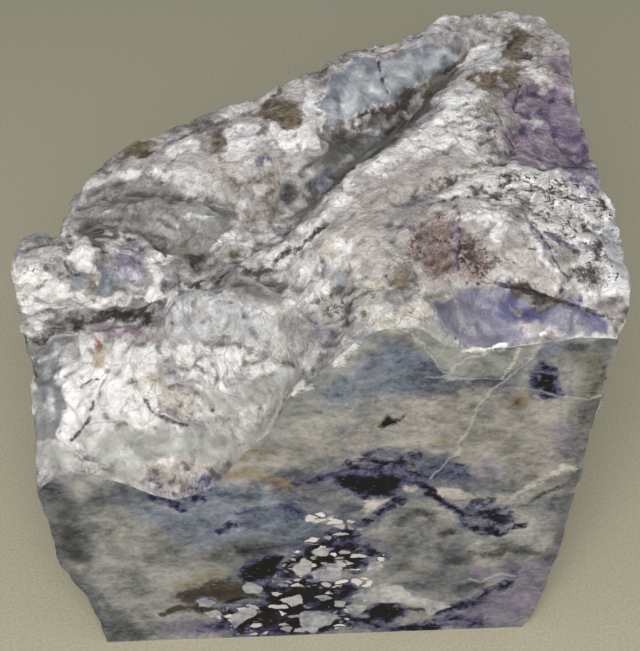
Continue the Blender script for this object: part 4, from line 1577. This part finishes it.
def broken_material():
    """The broken skin: clouded grey and white stone under its patches and stains."""
    material, tree, shader, place = new_material("broken tiffany stone")
    broad = noise_of(tree, place, 75, 3, 0.55, 0.8)
    middle = noise_of(tree, place, 190, 4, 0.6, 1.0)
    coarse = noise_of(tree, place, 360, 6, 0.68, 0.8)
    fine = noise_of(tree, place, 1000, 5, 0.7, 0.4)
    spots = noise_of(tree, place, 560, 3, 0.6, 1.5)
    noises = {"coarse": coarse, "fine": fine}
    layer = carried(tree, "layer")
    hollow = carried(tree, "hollow")
    drift = calculate(tree, "ADD", stretched(tree, coarse, 0.36, 0.64, 0.0, 0.6),
                      stretched(tree, middle, 0.36, 0.64, -0.1, 0.45))
    drift = calculate(tree, "ADD", drift, stretched(tree, layer, 0.1, 0.9, -0.12, 0.14))
    drift = calculate(tree, "SUBTRACT", drift, stretched(tree, hollow, 0.55, 0.95, 0.0, 0.5), clamp=True)
    plain = calculate(tree, "ADD", stretched(tree, broad, 0.34, 0.66, 0.0, 0.55),
                      times(tree, drift, 0.5))
    colour = ramp_of(tree, plain, [
        (0.10, paint(82, 79, 82)), (0.32, paint(134, 131, 130)), (0.55, paint(188, 185, 182)),
        (0.80, paint(244, 242, 240))])
    tint = ramp_of(tree, noise_of(tree, place, 150, 5, 0.6, 1.2), [
        (0.38, paint(132, 122, 146)), (0.47, paint(180, 178, 178)), (0.60, paint(156, 146, 128))])
    colour = lay_over(tree, 0.28, colour, tint)
    flecks = stretched(tree, noise_of(tree, place, 1500, 2, 0.5), 0.64, 0.72, 0.0, 0.45)
    colour = lay_over(tree, flecks, colour, paint(232, 230, 229))
    calm = stretched(tree, middle, 0.34, 0.66, 0.0, 0.8)
    streaks = calculate(tree, "ADD", stretched(tree, layer, 0.2, 0.8, -0.1, 0.75),
                        stretched(tree, fine, 0.35, 0.65, 0.0, 0.35), clamp=True)
    shadings = {"gloss": calm, "ice": calm, "slate": calm, "dusk": calm, "sage": calm, "lilac": calm,
                "shade": streaks, "grey": streaks}
    wall = carried(tree, "wall")
    patchwork = ramp_of(tree, noise_of(tree, place, 36, 6, 0.64, 1.6), [
        (0.35, paint(96, 84, 116)), (0.42, paint(142, 136, 144)), (0.48, paint(214, 210, 206)),
        (0.54, paint(196, 190, 184)), (0.59, paint(150, 144, 134)), (0.66, paint(100, 104, 112))])
    colour = lay_over(tree, times(tree, wall, 0.75), colour, patchwork)
    for sort, dark, pale, noise, tear, softness, solid in SKIN_SORTS:
        mask = mark_of(tree, sort, noises[noise], tear, softness, spots, solid)
        shades = lay_over(tree, shadings.get(sort, drift), paint(*dark), paint(*pale))
        colour = lay_over(tree, mask, colour, shades)
        if sort == "chalk":
            white = mask

    # Opal and fluorite stay smooth and clean where chalk and clay are pitted and crackled.
    glassy = calculate(tree, "MAXIMUM", mark_of(tree, "gloss", fine, 0.3, 0.35),
                       mark_of(tree, "ice", fine, 0.4, 0.35))
    glassy = calculate(tree, "MAXIMUM", glassy, mark_of(tree, "slate", fine, 0.4, 0.35))
    waxy = calculate(tree, "MAXIMUM", mark_of(tree, "lilac", coarse, 0.3, 0.4),
                     mark_of(tree, "dusk", coarse, 0.3, 0.4))
    waxy = calculate(tree, "MAXIMUM", waxy, mark_of(tree, "sage", coarse, 0.3, 0.4))
    smooth = calculate(tree, "MAXIMUM", glassy, waxy)
    open_grain = calculate(tree, "SUBTRACT", 1.0, times(tree, smooth, 0.9))
    pepper = carried(tree, "pepper")
    specks = noise_of(tree, place, 1150, 4, 0.7, 0.8)
    gate = calculate(tree, "ADD", times(tree, pepper, 0.13),
                     stretched(tree, middle, 0.35, 0.65, -0.07, 0.07))
    speck = stretched(tree, calculate(tree, "ADD", specks, gate), 0.68, 0.75)
    speck = times(tree, speck, stretched(tree, pepper, 0.1, 0.4))
    colour = lay_over(tree, speck, colour, paint(46, 38, 38))
    stray = stretched(tree, calculate(tree, "ADD", fine, stretched(tree, hollow, 0.4, 1.0, -0.08, 0.1)),
                      0.68, 0.78, 0.0, 0.65)
    colour = lay_over(tree, times(tree, stray, open_grain), colour, paint(88, 80, 84))
    wide_net = crackle(tree, place, 105.0, 0.0035, 0.035, (0.4, 0.2, 0.7))
    tight_net = crackle(tree, place, 260.0, 0.0018, 0.06, (0.1, 0.9, 0.3))
    wide_net = times(tree, wide_net, stretched(tree, coarse, 0.42, 0.62))
    tight_net = times(tree, tight_net, stretched(tree, middle, 0.52, 0.66))
    nets = calculate(tree, "MAXIMUM", wide_net, tight_net)
    nets = times(tree, nets, open_grain)
    colour = lay_over(tree, times(tree, nets, 0.6), colour, paint(80, 71, 74))
    grime = calculate(tree, "ADD", hollow, stretched(tree, fine, 0.36, 0.64, -0.16, 0.12))
    grime = times(tree, stretched(tree, grime, 0.66, 1.0, 0.0, 0.75),
                  stretched(tree, wall, 0.0, 1.0, 1.0, 0.4))
    colour = lay_over(tree, grime, colour, paint(72, 65, 62))
    line = carried(tree, "crack")
    crack = stretched(tree, calculate(tree, "ADD", line, stretched(tree, fine, 0.3, 0.7, -0.22, 0.22)),
                      0.62, 0.9, 0.0, 0.85)
    colour = lay_over(tree, crack, colour, paint(42, 36, 44))
    tree.links.new(colour, shader.inputs["Base Color"])

    rough = calculate(tree, "SUBTRACT", 0.68, times(tree, glassy, 0.5))
    rough = calculate(tree, "SUBTRACT", rough, times(tree, waxy, 0.3))
    rough = calculate(tree, "ADD", rough, stretched(tree, fine, 0.3, 0.7, -0.18, 0.15), clamp=True)
    tree.links.new(rough, shader.inputs["Roughness"])
    height = calculate(tree, "ADD", times(tree, coarse, 0.9), times(tree, fine, 0.65))
    height = calculate(tree, "SUBTRACT", height, 0.775)
    height = times(tree, height, open_grain)
    height = times(tree, height, stretched(tree, white, 0.0, 1.0, 1.0, 0.7))
    height = calculate(tree, "SUBTRACT", height, times(tree, crack, 0.3))
    bump = add_node(tree, "ShaderNodeBump", values={"Strength": 1.0, "Distance": 0.0014},
                    links={"Height": height})
    tree.links.new(bump.outputs["Normal"], shader.inputs["Normal"])
    return material


# The polished face's sorts, as above.
FACE_SORTS = [
    ("sand", (94, 91, 87), (160, 156, 149), "torn", 0.4, 0.5, 0.8),
    ("haze", (88, 89, 88), (156, 154, 147), "torn", 0.4, 0.5, 0.8),
    ("bluet", (52, 59, 76), (130, 138, 150), "torn", 0.5, 0.55, 0.75),
    ("smoke", (34, 36, 38), (104, 105, 106), "torn", 0.5, 0.55, 0.8),
    ("violet", (64, 58, 76), (136, 128, 144), "torn", 0.5, 0.55, 0.75),
    ("sage", (88, 90, 88), (148, 148, 143), "coarse", 0.5, 0.4, 0.85),
    ("ochre", (84, 70, 54), (148, 134, 114), "fine", 0.8, 0.5, 0.65),
    ("olive", (76, 72, 60), (128, 122, 104), "fine", 0.7, 0.4, 0.65),
    ("shade", (20, 20, 22), (76, 76, 78), "torn", 0.6, 0.45, 0.85),
    ("umber", (14, 11, 10), (72, 62, 53), "torn", 0.8, 0.35, 0.9),
    ("cream", (116, 112, 106), (190, 184, 174), "fine", 0.8, 0.35, 0.8),
    ("chalk", (164, 161, 158), (232, 228, 224), "fine", 0.7, 0.3, 0.7)]


def polished_material():
    """The polished face: clouded opal with blue-black veins and a bed of broken white pieces."""
    material, tree, shader, place = new_material("polished tiffany stone")
    drawn = add_node(tree, "ShaderNodeMapping", links={"Vector": place},
                     values={"Scale": (1.0, 1.0, 1.45), "Rotation": (0, -0.16, 0)}).outputs[0]
    broad = noise_of(tree, drawn, 42, 4, 0.6, 0.6)
    middle = noise_of(tree, drawn, 100, 4, 0.6, 0.7)
    coarse = noise_of(tree, drawn, 210, 6, 0.68, 0.5)
    fine = noise_of(tree, drawn, 620, 6, 0.75, 0.3)
    spots = noise_of(tree, drawn, 260, 5, 0.7, 0.8)
    wisps = noise_of(tree, drawn, 420, 7, 0.78, 0.4)
    swirl = calculate(tree, "ADD", stretched(tree, coarse, 0.35, 0.65, -0.42, 0.36),
                      stretched(tree, wisps, 0.34, 0.66, -0.45, 0.4))
    torn = calculate(tree, "MULTIPLY_ADD", swirl, 0.4, 0.5)
    noises = {"coarse": coarse, "fine": fine, "torn": torn}
    drift = calculate(tree, "ADD", stretched(tree, middle, 0.33, 0.67, 0.0, 0.6),
                      stretched(tree, coarse, 0.33, 0.67, -0.1, 0.4))
    drift = calculate(tree, "ADD", drift, stretched(tree, fine, 0.33, 0.67, -0.25, 0.3), clamp=True)
    plain = calculate(tree, "ADD", stretched(tree, broad, 0.34, 0.66, 0.0, 0.5),
                      times(tree, drift, 0.5))
    colour = ramp_of(tree, plain, [
        (0.15, paint(60, 63, 72)), (0.40, paint(100, 102, 106)), (0.60, paint(130, 129, 125)),
        (0.85, paint(164, 160, 153))])
    for sort, dark, pale, noise, tear, softness, solid in FACE_SORTS:
        mask = mark_of(tree, sort, noises[noise], tear, softness, spots, solid)
        shades = lay_over(tree, drift, paint(*dark), paint(*pale))
        colour = lay_over(tree, mask, colour, shades)

    # The veins spread blue into the stone beside them, then darken to black in the middle.
    ink = carried(tree, "ink")
    depth = calculate(tree, "ADD", ink, swirl)
    stain = stretched(tree, calculate(tree, "ADD", depth, stretched(tree, ink, 0.0, 0.25, -1.0, 0.0)),
                      -0.2, 0.75)
    colour = lay_over(tree, stain, colour, ramp_of(tree, depth, [
        (0.1, paint(84, 88, 116)), (0.42, paint(46, 46, 84)), (0.8, paint(17, 16, 38)),
        (1.0, paint(5, 5, 10))]))

    squash = add_node(tree, "ShaderNodeMapping", links={"Vector": place},
                      values={"Scale": (1.0, 1.0, 1.9), "Rotation": (0, 0.12, 0)}).outputs[0]
    sway = add_node(tree, "ShaderNodeTexNoise", links={"Vector": place},
                    values={"Scale": 260.0, "Detail": 3.0}).outputs["Color"]
    swayed = add_node(tree, "ShaderNodeMix", data_type="VECTOR", values={0: 0.004})
    tree.links.new(squash, swayed.inputs[4])
    tree.links.new(sway, swayed.inputs[5])
    cells = add_node(tree, "ShaderNodeTexVoronoi", feature="DISTANCE_TO_EDGE",
                     links={"Vector": swayed.outputs[1]}, values={"Scale": 330.0})
    picks = add_node(tree, "ShaderNodeTexVoronoi", links={"Vector": swayed.outputs[1]},
                     values={"Scale": 330.0})
    pick = add_node(tree, "ShaderNodeSeparateColor", links={"Color": picks.outputs["Color"]})
    crumb = add_node(tree, "ShaderNodeMapRange", interpolation_type="SMOOTHSTEP",
                     links={"Value": cells.outputs["Distance"]},
                     values={"From Min": 0.08, "From Max": 0.20}).outputs[0]
    bed = carried(tree, "crumbs")
    chosen = calculate(tree, "GREATER_THAN", pick.outputs[0], 0.55)
    crumb = times(tree, times(tree, crumb, chosen), stretched(tree, bed, 0.4, 0.6))
    crumb_colour = lay_over(tree, pick.outputs[1], paint(104, 102, 116), paint(208, 202, 196))
    colour = lay_over(tree, crumb, colour, crumb_colour)
    soot = mark_of(tree, "soot", torn, 0.9, 0.35)
    colour = lay_over(tree, soot, colour, lay_over(tree, drift, paint(3, 3, 4), paint(24, 21, 25)))
    shard = mark_of(tree, "shard", torn, 0.22, 0.25)
    shard_shades = lay_over(tree, drift, paint(104, 106, 120), paint(188, 185, 179))
    colour = lay_over(tree, shard, colour, shard_shades)
    rib = mark_of(tree, "rib", torn, 0.3, 0.3, spots, 0.5)
    colour = lay_over(tree, times(tree, rib, 0.5), colour, paint(172, 172, 168))
    dots = stretched(tree, noise_of(tree, place, 620, 3, 0.6), 0.66, 0.74, 0.0, 0.5)
    colour = lay_over(tree, dots, colour, paint(66, 64, 72))
    glints = stretched(tree, noise_of(tree, drawn, 900, 3, 0.6), 0.68, 0.76, 0.0, 0.45)
    colour = lay_over(tree, glints, colour, paint(196, 196, 194))
    tree.links.new(colour, shader.inputs["Base Color"])
    rough = calculate(tree, "ADD", 0.2, times(tree, fine, 0.3))
    shader.inputs["Specular IOR Level"].default_value = 0.28
    tree.links.new(rough, shader.inputs["Roughness"])
    height = calculate(tree, "ADD", times(tree, fine, 0.15), times(tree, rib, 0.35))
    height = calculate(tree, "ADD", height, times(tree, shard, 0.1))
    bump = add_node(tree, "ShaderNodeBump", links={"Height": height},
                    values={"Strength": 0.6, "Distance": 0.0004})
    tree.links.new(bump.outputs["Normal"], shader.inputs["Normal"])
    return material


def base_material():
    """The sawn base: dull, with the blade's fine lines across it."""
    material, tree, shader, place = new_material("sawn tiffany stone")
    broad = noise_of(tree, place, 60, 5, 0.6, 1.2)
    fine = noise_of(tree, place, 500, 4, 0.6)
    colour = ramp_of(tree, broad, [
        (0.32, paint(70, 66, 84)), (0.42, paint(132, 128, 126)), (0.56, paint(160, 154, 146)),
        (0.68, paint(196, 190, 182))])
    colour = lay_over(tree, times(tree, fine, 0.4), colour, paint(176, 170, 160))
    tree.links.new(colour, shader.inputs["Base Color"])
    blade = add_node(tree, "ShaderNodeTexWave", links={"Vector": place}, bands_direction="X",
                     values={"Scale": 420.0, "Distortion": 1.5, "Detail": 2.0})
    shader.inputs["Roughness"].default_value = 0.6
    bump = add_node(tree, "ShaderNodeBump", links={"Height": blade.outputs["Fac"]},
                    values={"Strength": 0.25, "Distance": 0.0001})
    tree.links.new(bump.outputs["Normal"], shader.inputs["Normal"])
    return material


mesh.materials.append(broken_material())
mesh.materials.append(polished_material())
mesh.materials.append(base_material())
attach(stone, "root")
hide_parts(STONE)


# ---- the floor, the light and the camera ------------------------------------------------------
# A plain pale mat under soft light from above, seen from a little above the polished face.
mat_mesh = bpy.data.meshes.new("floor")
mat_mesh.from_pydata([(-3, -3, 0), (3, -3, 0), (3, 3, 0), (-3, 3, 0)], [], [(0, 1, 2, 3)])
floor = bpy.data.objects.new("floor", mat_mesh)
bpy.context.scene.collection.objects.link(floor)
floor_material, floor_tree, floor_shader, floor_place = new_material("pale mat")
weave = stretched(floor_tree, noise_of(floor_tree, floor_place, 1600, 3, 0.7), 0.3, 0.7)
floor_tree.links.new(lay_over(floor_tree, weave, paint(149, 144, 123), paint(171, 166, 144)),
                     floor_shader.inputs["Base Color"])
floor_shader.inputs["Roughness"].default_value = 0.9
mat_mesh.materials.append(floor_material)

AIM = Vector((3.15, 0.0, 50.0)) * MM
AZIMUTH, ELEVATION, DISTANCE = math.radians(-2.7), math.radians(40.0), 0.4
FOCAL, TALL, SENSOR = 1700, 651, 36.0     # focal length and height of the view in its own dots
back = Vector((math.sin(AZIMUTH) * math.cos(ELEVATION), -math.cos(AZIMUTH) * math.cos(ELEVATION),
               math.sin(ELEVATION)))
camera = bpy.data.objects.new("camera", bpy.data.cameras.new("camera"))
bpy.context.scene.collection.objects.link(camera)
camera.data.sensor_fit = "VERTICAL"
camera.data.sensor_height = SENSOR
camera.data.lens = FOCAL / TALL * SENSOR
camera.data.clip_start = 0.01
camera.location = AIM + back * DISTANCE
camera.rotation_euler = (-back).to_track_quat("-Z", "Y").to_euler()
bpy.context.scene.camera = camera


def soft_light(name, place, size, power, colour):
    """A square area light that faces the stone."""
    lamp = bpy.data.lights.new(name, "AREA")
    lamp.shape = "SQUARE"
    lamp.size = size
    lamp.energy = power
    lamp.color = colour
    holder = bpy.data.objects.new(name, lamp)
    bpy.context.scene.collection.objects.link(holder)
    holder.location = place
    toward = Vector((0, 0, 0.05)) - Vector(place)
    holder.rotation_euler = toward.to_track_quat("-Z", "Y").to_euler()


soft_light("key", (-0.045, -0.46, 0.46), 0.3, 3.75, (1.0, 0.985, 0.96))
soft_light("overhead", (0.0, -0.35, 0.64), 1.2, 2.55, (1.0, 0.98, 0.95))
world = bpy.data.worlds.new("room")
world.use_nodes = True
world.node_tree.nodes["Background"].inputs["Color"].default_value = (0.9, 0.93, 1.0, 1.0)
world.node_tree.nodes["Background"].inputs["Strength"].default_value = 0.32
bpy.context.scene.world = world
bpy.context.scene.view_settings.view_transform = "Standard"
